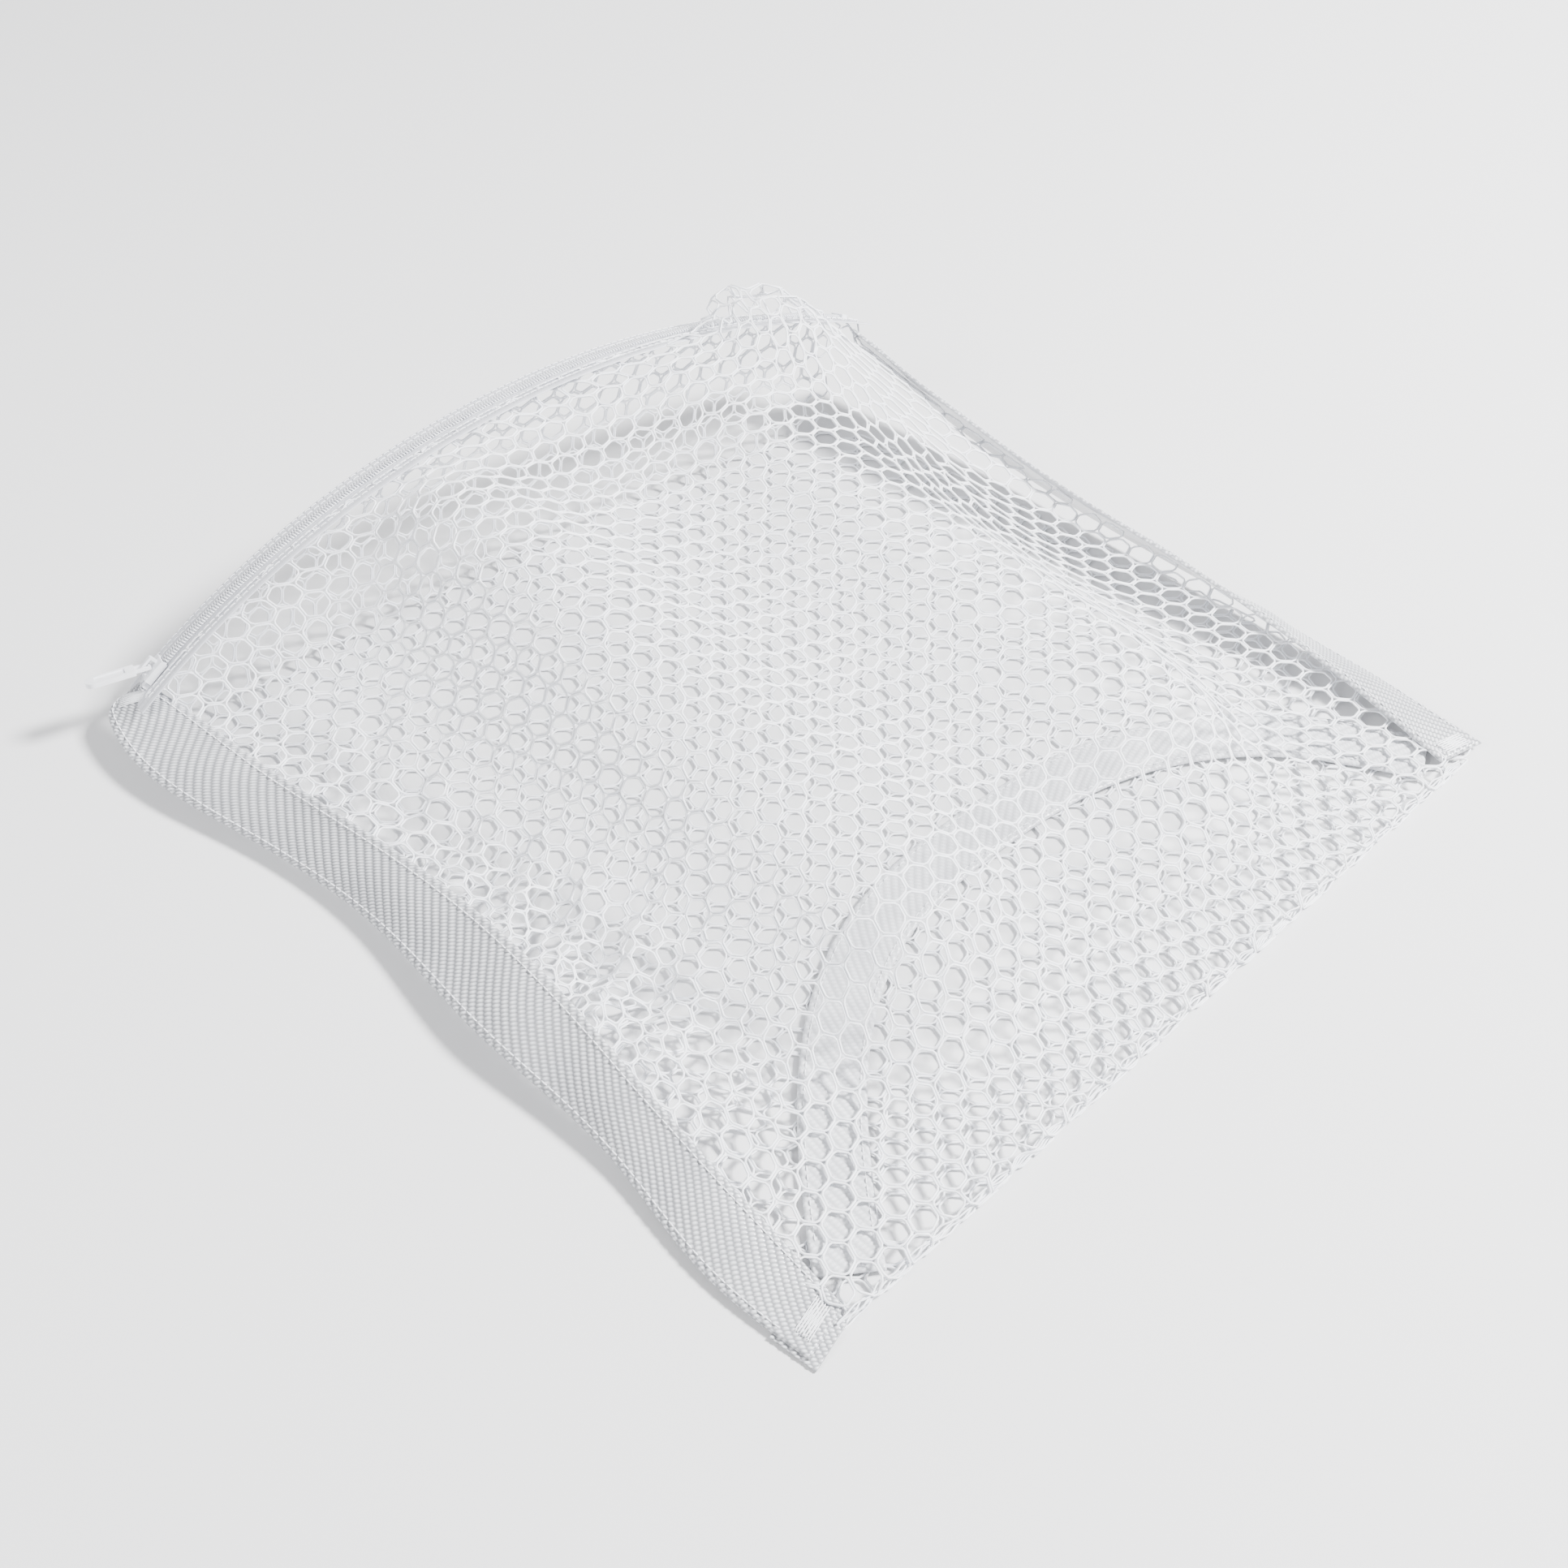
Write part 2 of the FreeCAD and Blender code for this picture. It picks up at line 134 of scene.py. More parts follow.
class Sheet:
    """A surface on a regular grid, with the flat cloth coordinates of each of its points."""

    NUDGE = 0.004     # step in surface coordinates that slopes are measured over
    ROUNDS = 12       # times that a place is corrected

    def __init__(self, points: np.ndarray, flat: np.ndarray) -> None:
        """Keep the grid and work out its normals.

        Args:
            points: array of nu x nv x 3 positions.
            flat: array of nu x nv x 2 places on the flat cloth.
        """
        self.points = points
        self.flat = flat
        across = np.gradient(points, axis=0)
        along = np.gradient(points, axis=1)
        self.normals = unit(np.cross(across, along))

    @staticmethod
    def _weights(place: np.ndarray, count: int) -> tuple[np.ndarray, np.ndarray]:
        """Find the four grid lines that each place is read from, and the weight of each.

        Args:
            place: places along one axis, 0 to 1.
            count: grid lines along that axis.

        Returns:
            The lines' numbers and their weights, each of shape (4, n).
        """
        spot = np.clip(place, 0.0, 1.0) * (count - 1)
        base = np.clip(np.floor(spot).astype(int), 0, count - 2)
        t = spot - base
        blend = np.stack([-0.5 * t + t ** 2 - 0.5 * t ** 3, 1.0 - 2.5 * t ** 2 + 1.5 * t ** 3,
                          0.5 * t + 2.0 * t ** 2 - 1.5 * t ** 3, -0.5 * t ** 2 + 0.5 * t ** 3])
        return np.clip(base + np.arange(-1, 3)[:, None], 0, count - 1), blend

    @classmethod
    def _cubic(cls, grid: np.ndarray, u: np.ndarray, v: np.ndarray) -> np.ndarray:
        """Read a grid with a Catmull-Rom patch.

        Args:
            grid: nu x nv x k values.
            u: places along the first axis, 0 to 1.
            v: places along the second axis, 0 to 1.

        Returns:
            Values of shape (n, k).
        """
        rows, row_weight = cls._weights(u, grid.shape[0])
        columns, column_weight = cls._weights(v, grid.shape[1])
        total = 0.0
        for i in range(4):
            for j in range(4):
                share = (row_weight[i] * column_weight[j])[:, None]
                total = total + grid[rows[i], columns[j]] * share
        return total

    def place(self, u: np.ndarray, v: np.ndarray) -> np.ndarray:
        """Return positions at surface coordinates."""
        return self._cubic(self.points, u, v)

    def normal(self, u: np.ndarray, v: np.ndarray) -> np.ndarray:
        """Return normals at surface coordinates."""
        return unit(self._cubic(self.normals, u, v))

    def locate(self, flat: np.ndarray) -> tuple[np.ndarray, np.ndarray]:
        """Find the surface coordinates of places on the flat cloth.

        Args:
            flat: array of n x 2 places.

        Returns:
            The u and v of each, which may lie outside 0 to 1.
        """
        low = self.flat.reshape(-1, 2).min(axis=0)
        high = self.flat.reshape(-1, 2).max(axis=0)
        guess = (flat - low) / (high - low)
        u, v = guess[:, 0], guess[:, 1]
        for _ in range(self.ROUNDS):
            held_u, held_v = np.clip(u, 0.0, 1.0 - self.NUDGE), np.clip(v, 0.0, 1.0 - self.NUDGE)
            here = self._cubic(self.flat, held_u, held_v)
            slope_u = (self._cubic(self.flat, held_u + self.NUDGE, held_v) - here) / self.NUDGE
            slope_v = (self._cubic(self.flat, held_u, held_v + self.NUDGE) - here) / self.NUDGE
            here = here + slope_u * (u - held_u)[:, None] + slope_v * (v - held_v)[:, None]
            miss = flat - here
            det = slope_u[:, 0] * slope_v[:, 1] - slope_u[:, 1] * slope_v[:, 0]
            u = u + (miss[:, 0] * slope_v[:, 1] - miss[:, 1] * slope_v[:, 0]) / det
            v = v + (miss[:, 1] * slope_u[:, 0] - miss[:, 0] * slope_u[:, 1]) / det
        return u, v


def unroll(points: np.ndarray) -> np.ndarray:
    """Work out the flat cloth that a surface was made from.

    Args:
        points: nu x nv x 3 positions.

    Returns:
        nu x nv x 2 places on the flat cloth, measured from its middle.
    """
    flat = np.zeros(points.shape[:2] + (2,))
    flat[1:, :, 0] = np.cumsum(np.linalg.norm(np.diff(points, axis=0), axis=-1), axis=0)
    flat[:, 1:, 1] = np.cumsum(np.linalg.norm(np.diff(points, axis=1), axis=-1), axis=1)
    middle_u, middle_v = points.shape[0] // 2, points.shape[1] // 2
    flat[:, :, 0] -= flat[middle_u:middle_u + 1, :, 0]
    flat[:, :, 1] -= flat[:, middle_v:middle_v + 1, 1]
    return flat


# ---------------------------------------------------------------- mesh making
def mesh_object(name: str, points: np.ndarray, faces: list[np.ndarray],
                weave: np.ndarray | None = None) -> bpy.types.Object:
    """Make a smooth-shaded object from arrays.

    Args:
        name: the piece's name.
        points: n x 3 positions in metres.
        faces: arrays of faces, each with its own number of corners.
        weave: for each point, how much of the painted shade it is spared: 0 in the sunken parts of the
            weave, which take the full painted shade, and 1 on its raised yarns.

    Returns:
        The new object, linked to the scene.
    """
    mesh = bpy.data.meshes.new(name)
    loops = np.concatenate([block.reshape(-1) for block in faces]).astype(np.int32)
    sizes = np.concatenate([np.full(len(block), block.shape[1]) for block in faces])
    starts = np.concatenate([[0], np.cumsum(sizes)[:-1]]).astype(np.int32)
    mesh.vertices.add(len(points))
    mesh.vertices.foreach_set("co", np.ascontiguousarray(points, np.float32).ravel())
    mesh.loops.add(len(loops))
    mesh.loops.foreach_set("vertex_index", loops)
    mesh.polygons.add(len(starts))
    mesh.polygons.foreach_set("loop_start", starts)
    mesh.polygons.foreach_set("use_smooth", np.full(len(starts), True))
    mesh.update(calc_edges=True)
    mesh.validate()
    # The weave attribute is the material's mask of painted shade.
    if weave is not None:
        layer = mesh.attributes.new("weave", "FLOAT", "POINT")
        layer.data.foreach_set("value", weave.astype(np.float32).ravel())
    piece = bpy.data.objects.new(name, mesh)
    bpy.context.scene.collection.objects.link(piece)
    return piece


def around(ring: np.ndarray, normals: np.ndarray, radius: float, sides: int,
           closed: bool) -> tuple[np.ndarray, np.ndarray]:
    """Wrap round tubes about many lines at once.

    Args:
        ring: n x k x 3 points of n lines.
        normals: n x k x 3 directions that stand off the cloth.
        radius: the tube's radius.
        sides: faces around the tube.
        closed: whether each line joins its own start.

    Returns:
        Points of shape (n * k * sides, 3) and faces of four corners, pointing outward.
    """
    count, length = ring.shape[:2]
    if closed:
        tangent = unit(np.roll(ring, -1, axis=1) - np.roll(ring, 1, axis=1))
    else:
        tangent = unit(np.gradient(ring, axis=1))
    side = unit(np.cross(tangent, normals))
    lift = unit(np.cross(side, tangent))
    turn = np.arange(sides) * 2.0 * math.pi / sides
    wide = side[:, :, None, :] * np.cos(turn)[None, None, :, None]
    tall = lift[:, :, None, :] * np.sin(turn)[None, None, :, None]
    points = ring[:, :, None, :] + (wide + tall) * radius
    here = np.arange(count * length * sides).reshape(count, length, sides)
    ahead = np.roll(here, -1, axis=1)
    if not closed:
        here, ahead = here[:, :-1], ahead[:, :-1]
    faces = np.stack([here, np.roll(here, -1, axis=2), np.roll(ahead, -1, axis=2), ahead], axis=-1)
    return points.reshape(-1, 3), faces.reshape(-1, 4)


def capped(ring: np.ndarray, normals: np.ndarray, radius: float,
           sides: int) -> tuple[np.ndarray, list[np.ndarray]]:
    """Wrap open tubes and close both ends of each.

    Args:
        ring: n x k x 3 points of n lines.
        normals: n x k x 3 directions that stand off the cloth.
        radius: the tube's radius.
        sides: faces around the tube.

    Returns:
        The points and the lists of faces.
    """
    points, quads = around(ring, normals, radius, sides, closed=False)
    count, length = ring.shape[:2]
    first = (np.arange(count) * length * sides)[:, None]
    last = first + (length - 1) * sides
    corner = np.arange(sides)[None, :]
    return points, [quads, first + corner[:, ::-1], last + corner]


def grid_faces(nu: int, nv: int, start: int = 0, flip: bool = False) -> np.ndarray:
    """Faces of a grid of nu x nv points.

    Args:
        nu: points along the first axis.
        nv: points along the second axis.
        start: index of the first point.
        flip: whether the faces point the other way.

    Returns:
        Faces of four corners.
    """
    i, j = np.meshgrid(np.arange(nu - 1), np.arange(nv - 1), indexing="ij")
    corner = start + i * nv + j
    faces = np.stack([corner, corner + nv, corner + nv + 1, corner + 1], axis=-1).reshape(-1, 4)
    return faces[:, ::-1] if flip else faces


def slab(outer: np.ndarray, back: np.ndarray, lines: int = 5) -> tuple[np.ndarray, list[np.ndarray]]:
    """Close a fine grid and its plainer back into one sheet with a thickness.

    Args:
        outer: nu x nv x 3 points of the face that shows.
        back: nu x nv x 3 points of the back.
        lines: how many of the back's nv lines are kept.

    Returns:
        The points and the lists of faces, pointing outward.
    """
    nu, nv = outer.shape[:2]
    inner = back[:, np.linspace(0, nv - 1, lines).round().astype(int)]
    top = np.arange(nu * nv).reshape(nu, nv)
    low = np.arange(nu * lines).reshape(nu, lines) + nu * nv
    near = np.stack([top[1:, 0], top[:-1, 0], low[:-1, 0], low[1:, 0]], axis=-1)
    far = np.stack([top[:-1, -1], top[1:, -1], low[1:, -1], low[:-1, -1]], axis=-1)
    first = np.concatenate([top[0], low[0, ::-1]])[None]
    last = np.concatenate([top[-1, ::-1], low[-1]])[None]
    points = np.concatenate([outer.reshape(-1, 3), inner.reshape(-1, 3)])
    return points, [grid_faces(nu, nv), grid_faces(nu, lines, nu * nv, flip=True), near, far, first, last]


def with_back(weave: np.ndarray, corners: np.ndarray, plain: float = 0.6) -> np.ndarray:
    """Give the points of a slab's back one even value of the painted-shade mask.

    Args:
        weave: painted-shade mask values for the points of the face that shows.
        corners: all points of the slab.
        plain: the mask value on the back, which lays part of the painted shade there.

    Returns:
        One value for each point of the slab.
    """
    return np.concatenate([weave.ravel(), np.full(len(corners) - weave.size, plain)])


# ---------------------------------------------------------------- finishes
def new_material(name: str) -> tuple[bpy.types.Material, bpy.types.NodeTree, bpy.types.Node]:
    """Make an empty material.

    Args:
        name: the finish's name.

    Returns:
        The material, its node tree and its shader.
    """
    material = bpy.data.materials.new(name)
    material.use_nodes = True
    tree = material.node_tree
    tree.nodes.clear()
    shader = tree.nodes.new("ShaderNodeBsdfPrincipled")
    output = tree.nodes.new("ShaderNodeOutputMaterial")
    tree.links.new(shader.outputs["BSDF"], output.inputs["Surface"])
    return material, tree, shader


@dataclass(frozen=True)
class Finish:
    """A finish with mottled colour, uneven gloss, a fine grain and, on the woven tapes, painted shade in the
    sunken parts of the weave.
    """

    GLOW_DEPTH = 1.5 * MM     # how far light spreads below the surface

    name: str
    light: tuple[float, float, float]
    dark: tuple[float, float, float]
    gloss: tuple[float, float]
    patch_scale: float
    grain_scale: float
    grain_height: float
    grain_strength: float = 0.4
    grain_stretch: tuple[float, float, float] = (1.0, 1.0, 1.0)
    sheen: float = 0.0
    sheen_gloss: float = 0.4
    coat: float = 0.0
    glow_through: float = 0.0
    # Colour of painted shade, laid where the weave attribute is 0, in the sunken parts of the weave.
    pit_shade: tuple[float, float, float] | None = None

    def material(self) -> bpy.types.Material:
        """Return the node-based material of this finish."""
        material, tree, shader = new_material(self.name)
        nodes, links = tree.nodes, tree.links
        place = nodes.new("ShaderNodeTexCoord")
        patch = nodes.new("ShaderNodeTexNoise")
        patch.inputs["Scale"].default_value = self.patch_scale
        patch.inputs["Detail"].default_value = 4.0
        links.new(place.outputs["Object"], patch.inputs["Vector"])
        colour = nodes.new("ShaderNodeValToRGB")
        colour.color_ramp.elements[0].position = 0.3
        colour.color_ramp.elements[0].color = (*self.dark, 1.0)
        colour.color_ramp.elements[1].position = 0.7
        colour.color_ramp.elements[1].color = (*self.light, 1.0)
        links.new(patch.outputs["Fac"], colour.inputs["Fac"])
        tone = colour.outputs["Color"]
        # Painted shade: mix from the painted shade colour, where the weave attribute is 0, to the mottled
        # colour, where it is 1.
        if self.pit_shade:
            weave = nodes.new("ShaderNodeAttribute")
            weave.attribute_name = "weave"
            shade = nodes.new("ShaderNodeMix")
            shade.data_type = "RGBA"
            shade.inputs["A"].default_value = (*self.pit_shade, 1.0)
            links.new(weave.outputs["Fac"], shade.inputs["Factor"])
            links.new(tone, shade.inputs["B"])
            tone = shade.outputs["Result"]
        links.new(tone, shader.inputs["Base Color"])
        stretch = nodes.new("ShaderNodeMapping")
        stretch.inputs["Scale"].default_value = self.grain_stretch
        links.new(place.outputs["Object"], stretch.inputs["Vector"])
        grain = nodes.new("ShaderNodeTexNoise")
        grain.inputs["Scale"].default_value = self.grain_scale
        grain.inputs["Detail"].default_value = 3.0
        links.new(stretch.outputs["Vector"], grain.inputs["Vector"])
        rough = nodes.new("ShaderNodeMapRange")
        rough.inputs["To Min"].default_value = self.gloss[0]
        rough.inputs["To Max"].default_value = self.gloss[1]
        links.new(grain.outputs["Fac"], rough.inputs["Value"])
        links.new(rough.outputs["Result"], shader.inputs["Roughness"])
        bump = nodes.new("ShaderNodeBump")
        bump.inputs["Strength"].default_value = self.grain_strength
        bump.inputs["Distance"].default_value = self.grain_height
        links.new(grain.outputs["Fac"], bump.inputs["Height"])
        links.new(bump.outputs["Normal"], shader.inputs["Normal"])
        shader.inputs["Sheen Weight"].default_value = self.sheen
        shader.inputs["Sheen Roughness"].default_value = self.sheen_gloss
        shader.inputs["Coat Weight"].default_value = self.coat
        if self.glow_through:
            shader.inputs["Subsurface Weight"].default_value = self.glow_through
            shader.inputs["Subsurface Radius"].default_value = (1.0, 1.0, 1.0)
            shader.inputs["Subsurface Scale"].default_value = self.GLOW_DEPTH
        return material


NET_YARN = Finish("net_yarn", light=(0.93, 0.94, 0.97), dark=(0.84, 0.86, 0.91), gloss=(0.34, 0.55),
                  patch_scale=60.0, grain_scale=2600.0, grain_height=0.12 * MM,
                  grain_stretch=(1.0, 1.0, 2.4), sheen=0.25, glow_through=0.25)
# The two woven tapes carry a painted shade colour for the sunken parts of their weave.
TWILL_TAPE = Finish("twill_tape", light=(0.86, 0.87, 0.89), dark=(0.70, 0.71, 0.74), gloss=(0.14, 0.30),
                    patch_scale=55.0, grain_scale=3800.0, grain_height=0.04 * MM,
                    grain_stretch=(2.2, 1.0, 1.0), sheen=0.1, pit_shade=(0.19, 0.195, 0.21))
WOVEN_TAPE = Finish("zipper_weave", light=(0.76, 0.77, 0.81), dark=(0.64, 0.65, 0.70), gloss=(0.35, 0.6),
                    patch_scale=120.0, grain_scale=3000.0, grain_height=0.06 * MM,
                    sheen=0.2, pit_shade=(0.30, 0.31, 0.34))
NYLON = Finish("nylon_coil", light=(0.86, 0.87, 0.90), dark=(0.78, 0.79, 0.83), gloss=(0.28, 0.42),
               patch_scale=200.0, grain_scale=2400.0, grain_height=0.02 * MM, glow_through=0.2)
ENAMEL = Finish("white_enamel", light=(0.84, 0.85, 0.88), dark=(0.76, 0.77, 0.80), gloss=(0.22, 0.36),
                patch_scale=220.0, grain_scale=1800.0, grain_height=0.02 * MM, coat=0.4)
MOULDED = Finish("white_moulding", light=(0.86, 0.87, 0.90), dark=(0.80, 0.81, 0.84), gloss=(0.26, 0.4),
                 patch_scale=150.0, grain_scale=1500.0, grain_height=0.02 * MM, coat=0.2,
                 glow_through=0.15)
SEWING_THREAD = Finish("sewing_thread", light=(0.93, 0.94, 0.96), dark=(0.84, 0.85, 0.88),
                       gloss=(0.4, 0.6), patch_scale=300.0, grain_scale=5000.0,
                       grain_height=0.05 * MM, sheen=0.2)


class Slot(Enum):
    """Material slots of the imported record."""

    MESH = "mesh"
    BAND = "twill_band"
    TAPE = "zipper_tape"
    COIL = "coil"
    STOP = "stop_plastic"
    SLIDER = "slider_enamel"
    PULL = "pull_plastic"
    THREAD = "thread"


class Wardrobe:
    """Makes each finish once and dresses pieces with it."""

    FINISHES = {Slot.MESH: NET_YARN, Slot.BAND: TWILL_TAPE, Slot.TAPE: WOVEN_TAPE, Slot.COIL: NYLON,
                Slot.STOP: NYLON, Slot.SLIDER: ENAMEL, Slot.PULL: MOULDED, Slot.THREAD: SEWING_THREAD}

    def __init__(self) -> None:
        """Start with nothing made."""
        self.made: dict[Finish, bpy.types.Material] = {}

    def cloth(self, slot: Slot) -> bpy.types.Material:
        """Return the material of a slot, made on first use."""
        finish = self.FINISHES[slot]
        if finish not in self.made:
            self.made[finish] = finish.material()
        return self.made[finish]

    def dress(self, piece: bpy.types.Object, slot: Slot) -> None:
        """Give a new piece its only material.

        Args:
            piece: the object to dress.
            slot: the record's slot that it shows.
        """
        piece.data.materials.clear()
        piece.data.materials.append(self.cloth(slot))

    def dress_node(self, node: str, slot: Slot) -> None:
        """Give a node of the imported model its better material."""
        for holder in bpy.data.objects[node].material_slots:
            holder.material = self.cloth(slot)


def join_bag(piece: bpy.types.Object, node: str) -> None:
    """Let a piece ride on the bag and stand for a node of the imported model.

    Args:
        piece: the new piece.
        node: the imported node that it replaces.
    """
    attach(piece, BAG)
    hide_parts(node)
    triangles = len(piece.data.loops) - 2 * len(piece.data.polygons)
    LOG.info("%-22s stands for %-24s %7d triangles", piece.name, node, triangles)


# ---------------------------------------------------------------- the zipper's chain
@dataclass
class Chain:
    """The closed zipper's line: an arc that stands between the two ends of the mouth."""

    front: tuple[float, float, float] = (-0.219, -0.190, 0.017)
    rear: tuple[float, float, float] = (-0.166, 0.194, 0.050)
    rise: float = 0.056
    turn: float = math.radians(20.0)
    sewn: float = 0.985

    def __post_init__(self) -> None:
        """Work out the arc."""
        first, last = np.array(self.front), np.array(self.rear)
        line = last - first
        chord = float(np.linalg.norm(line))
        self.along = line / chord
        up = np.array([0.0, 0.0, 1.0])
        self.up = unit(up - self.along * float(up @ self.along))
        self.outward = np.cross(self.up, self.along)
        self.radius = (chord ** 2 / 4.0 + self.rise ** 2) / (2.0 * self.rise)
        self.half = math.asin(chord / 2.0 / self.radius)
        self.centre = (first + last) / 2.0 - self.up * (self.radius - self.rise)

    def arc(self, length: float) -> float:
        """Return the angle that a length along the chain takes."""
        return length / self.radius

    def axes(self, angle: np.ndarray) -> tuple[np.ndarray, np.ndarray, np.ndarray]:
        """Directions at places along the chain.

        Args:
            angle: places, as angles about the arc's centre.

        Returns:
            Radial, across (outward positive) and face directions.
        """
        angle = np.asarray(angle, float)[..., None]
        radial = self.along * np.sin(angle) + self.up * np.cos(angle)
        across = self.outward * math.cos(self.turn) - radial * math.sin(self.turn)
        face = radial * math.cos(self.turn) + self.outward * math.sin(self.turn)
        return radial, across, face

    def point(self, angle: np.ndarray, across: np.ndarray, above: np.ndarray) -> np.ndarray:
        """Points of the zipper.

        Args:
            angle: places along the chain.
            across: distances across the tapes, outward positive.
            above: heights above the tapes' back.

        Returns:
            Their positions.
        """
        radial, wide, face = self.axes(angle)
        shift = wide * np.asarray(across, float)[..., None] + face * np.asarray(above, float)[..., None]
        return self.centre + radial * self.radius + shift

    def seam(self, shares: np.ndarray, across: float, above: float) -> np.ndarray:
        """Line along the zipper that a net is sewn to.

        Args:
            shares: places from the front end of that line to its rear end, 0 to 1.
            across: its distance across the tapes, outward positive.
            above: its height above the tapes' back.

        Returns:
            One point for each place.
        """
        angle = self.half * (2.0 * shares - 1.0) * self.sewn
        return self.point(angle, np.full(len(shares), across), np.full(len(shares), above))


# ---------------------------------------------------------------- the bag's outline
@dataclass
class Outline:
    """Edges of the side bands, in millimetres, and the places that the net is sewn to."""

    FRONT_LOW_RUN = [
        (-136, -200, 6), (-55, -191, 6), (20, -198, 10), (87, -197, 5), (150, -206, 2.5), (197, -203, 1.5)]
    FRONT_HIGH_RUN = [
        (-144, -176, 21), (-60, -167, 22), (30, -169, 25), (90, -175, 19), (144, -178, 9), (192, -181, 3.5)]

    foot_x: float = 0.197
    lap: float = 0.30
    below: float = 1.1 * MM
    foot_half: float = 13.0

    front_low: SmoothLine = field(default_factory=lambda: SmoothLine([
        (-221, -203, 12), *Outline.FRONT_LOW_RUN]))
    front_high: SmoothLine = field(default_factory=lambda: SmoothLine([
        (-212, -181, 21), *Outline.FRONT_HIGH_RUN]))
    rear_low: SmoothLine = field(default_factory=lambda: SmoothLine([
        (-166, 206, 25), (-100, 206, 12), (-20, 205, 6), (60, 207, 5), (140, 209, 4), (196, 208, 3)]))
    rear_high: SmoothLine = field(default_factory=lambda: SmoothLine([
        (-156, 184, 55), (-90, 184, 42), (-10, 187, 30), (70, 190, 22), (140, 190, 11), (191, 184, 5)]))

    # The front band's own edges also turn in at the zipper.
    front_low_edge: SmoothLine = field(default_factory=lambda: SmoothLine([
        (-224, -181, 13), (-227.5, -190, 12.5), (-227, -199, 12), (-219, -204, 11.5),
        *Outline.FRONT_LOW_RUN]))
    front_high_edge: SmoothLine = field(default_factory=lambda: SmoothLine([
        (-218, -172, 24), (-219, -177, 23.5), (-216, -181, 22.5), (-209, -181, 21),
        *Outline.FRONT_HIGH_RUN]))

    def foot_edges(self) -> tuple[SmoothLine, SmoothLine]:
        """Return the edges of the band over the foot seam, nearest the foot first."""
        middle = SmoothLine([(184, -170, 2.2), (120, -112, 2.2), (84, -50, 2.2), (78, 20, 2.2),
                             (90, 90, 2.2), (130, 150, 2.2), (184, 184, 2.2)])
        share = np.linspace(0.0, 1.0, 17)
        ahead = unit(middle.at(share + 0.01) - middle.at(share - 0.01))
        aside = np.stack([ahead[:, 1], -ahead[:, 0], 0.0 * share], axis=-1) * self.foot_half
        points = middle.at(share) / MM
        near, far = (SmoothLine([tuple(p) for p in points + side]) for side in (aside, -aside))
        return near, far

    def under(self, high: SmoothLine, low: SmoothLine, shares: np.ndarray) -> np.ndarray:
        """Line under a side band where the upper net ends.

        Args:
            high: the band's high edge.
            low: its low edge.
            shares: places along the band, 0 to 1.

        Returns:
            One point for each place.
        """
        line = high.at(shares) * (1.0 - self.lap) + low.at(shares) * self.lap
        return line - np.array([0.0, 0.0, self.below])


# ---------------------------------------------------------------- what fills the bag
@dataclass
class Filling:
    """Smooth stand-in for the contents, which the net is draped over and which is then removed."""

    rows: tuple[tuple[float, float], ...] = ((-0.056, -0.047), (0.066, 0.085))
    crest: tuple[tuple[float, float], ...] = (
        (-0.186, 0.0), (-0.178, 0.066), (-0.168, 0.089), (-0.150, 0.093), (-0.110, 0.091), (-0.060, 0.084),
        (-0.010, 0.070), (0.040, 0.059), (0.090, 0.051), (0.118, 0.042), (0.138, 0.026), (0.150, 0.0))
    girth: tuple[tuple[float, float], ...] = (
        (-0.186, 0.020), (-0.168, 0.036), (-0.140, 0.040), (-0.060, 0.043), (0.020, 0.048), (0.070, 0.050),
        (0.110, 0.045), (0.135, 0.034), (0.150, 0.016))
    peaks: tuple[tuple[float, float, float, float, float], ...] = (
        (-0.150, 0.118, 0.044, 0.050, 0.098), (-0.168, 0.126, 0.024, 0.030, 0.101))
    rest: float = 2.6 * MM
    heel_x: float = -0.18
    long: float = 0.32
    row_shape: tuple[float, float] = (2.6, 0.4)
    peak_shape: tuple[float, float] = (2.4, 0.45)
    extent: tuple[float, float, float, float] = (-0.210, 0.205, -0.205, 0.205)

    @staticmethod
    def mound(off: np.ndarray, shape: tuple[float, float]) -> np.ndarray:
        """Profile of a rounded mound, 1 in its middle and 0 at its rim.

        Args:
            off: distances from the middle, 1 at the rim.
            shape: how square its sides are and how flat its top is.

        Returns:
            The share of its height at each distance.
        """
        return np.clip(1.0 - off ** shape[0], 0.0, 1.0) ** shape[1]

    def height(self, x: np.ndarray, y: np.ndarray) -> np.ndarray:
        """Height of the contents.

        Args:
            x: places from mouth to foot.
            y: places from front to rear.

        Returns:
            The top of the contents at each place.
        """
        top = np.interp(x, *zip(*self.crest))
        half = np.interp(x, *zip(*self.girth))
        share = np.clip((x - self.heel_x) / self.long, 0.0, 1.0)
        total = np.full_like(x, self.rest)
        for heel, toe in self.rows:
            off = np.abs(y - (heel + (toe - heel) * share)) / half
            total = np.maximum(total, top * self.mound(off, self.row_shape))
        for middle_x, middle_y, long, wide, tall in self.peaks:
            off = np.hypot((x - middle_x) / long, (y - middle_y) / wide)
            total = np.maximum(total, tall * self.mound(off, self.peak_shape))
        return total

    def collider(self, count: int = 130, softenings: int = 4) -> bpy.types.Object:
        """Make the surface that the net falls on.

        Args:
            count: points along each side.
            softenings: times that its corners are rounded.

        Returns:
            The surface, set to stop the cloth.
        """
        x_low, x_high, y_low, y_high = self.extent
        x, y = np.meshgrid(np.linspace(x_low, x_high, count), np.linspace(y_low, y_high, count),
                           indexing="ij")
        z = self.height(x, y)
        for _ in range(softenings):
            beside = z[:-2, 1:-1] + z[2:, 1:-1] + z[1:-1, :-2] + z[1:-1, 2:]
            z[1:-1, 1:-1] = (z[1:-1, 1:-1] * 2.0 + beside) / 6.0
        points = np.stack([x, y, z], axis=-1).reshape(-1, 3)
        piece = mesh_object("filling", points, [grid_faces(count, count)])
        piece.modifiers.new("Collision", "COLLISION")
        piece.collision.thickness_outer = 1.5 * MM
        piece.collision.thickness_inner = 20 * MM
        piece.collision.cloth_friction = 8.0
        return piece


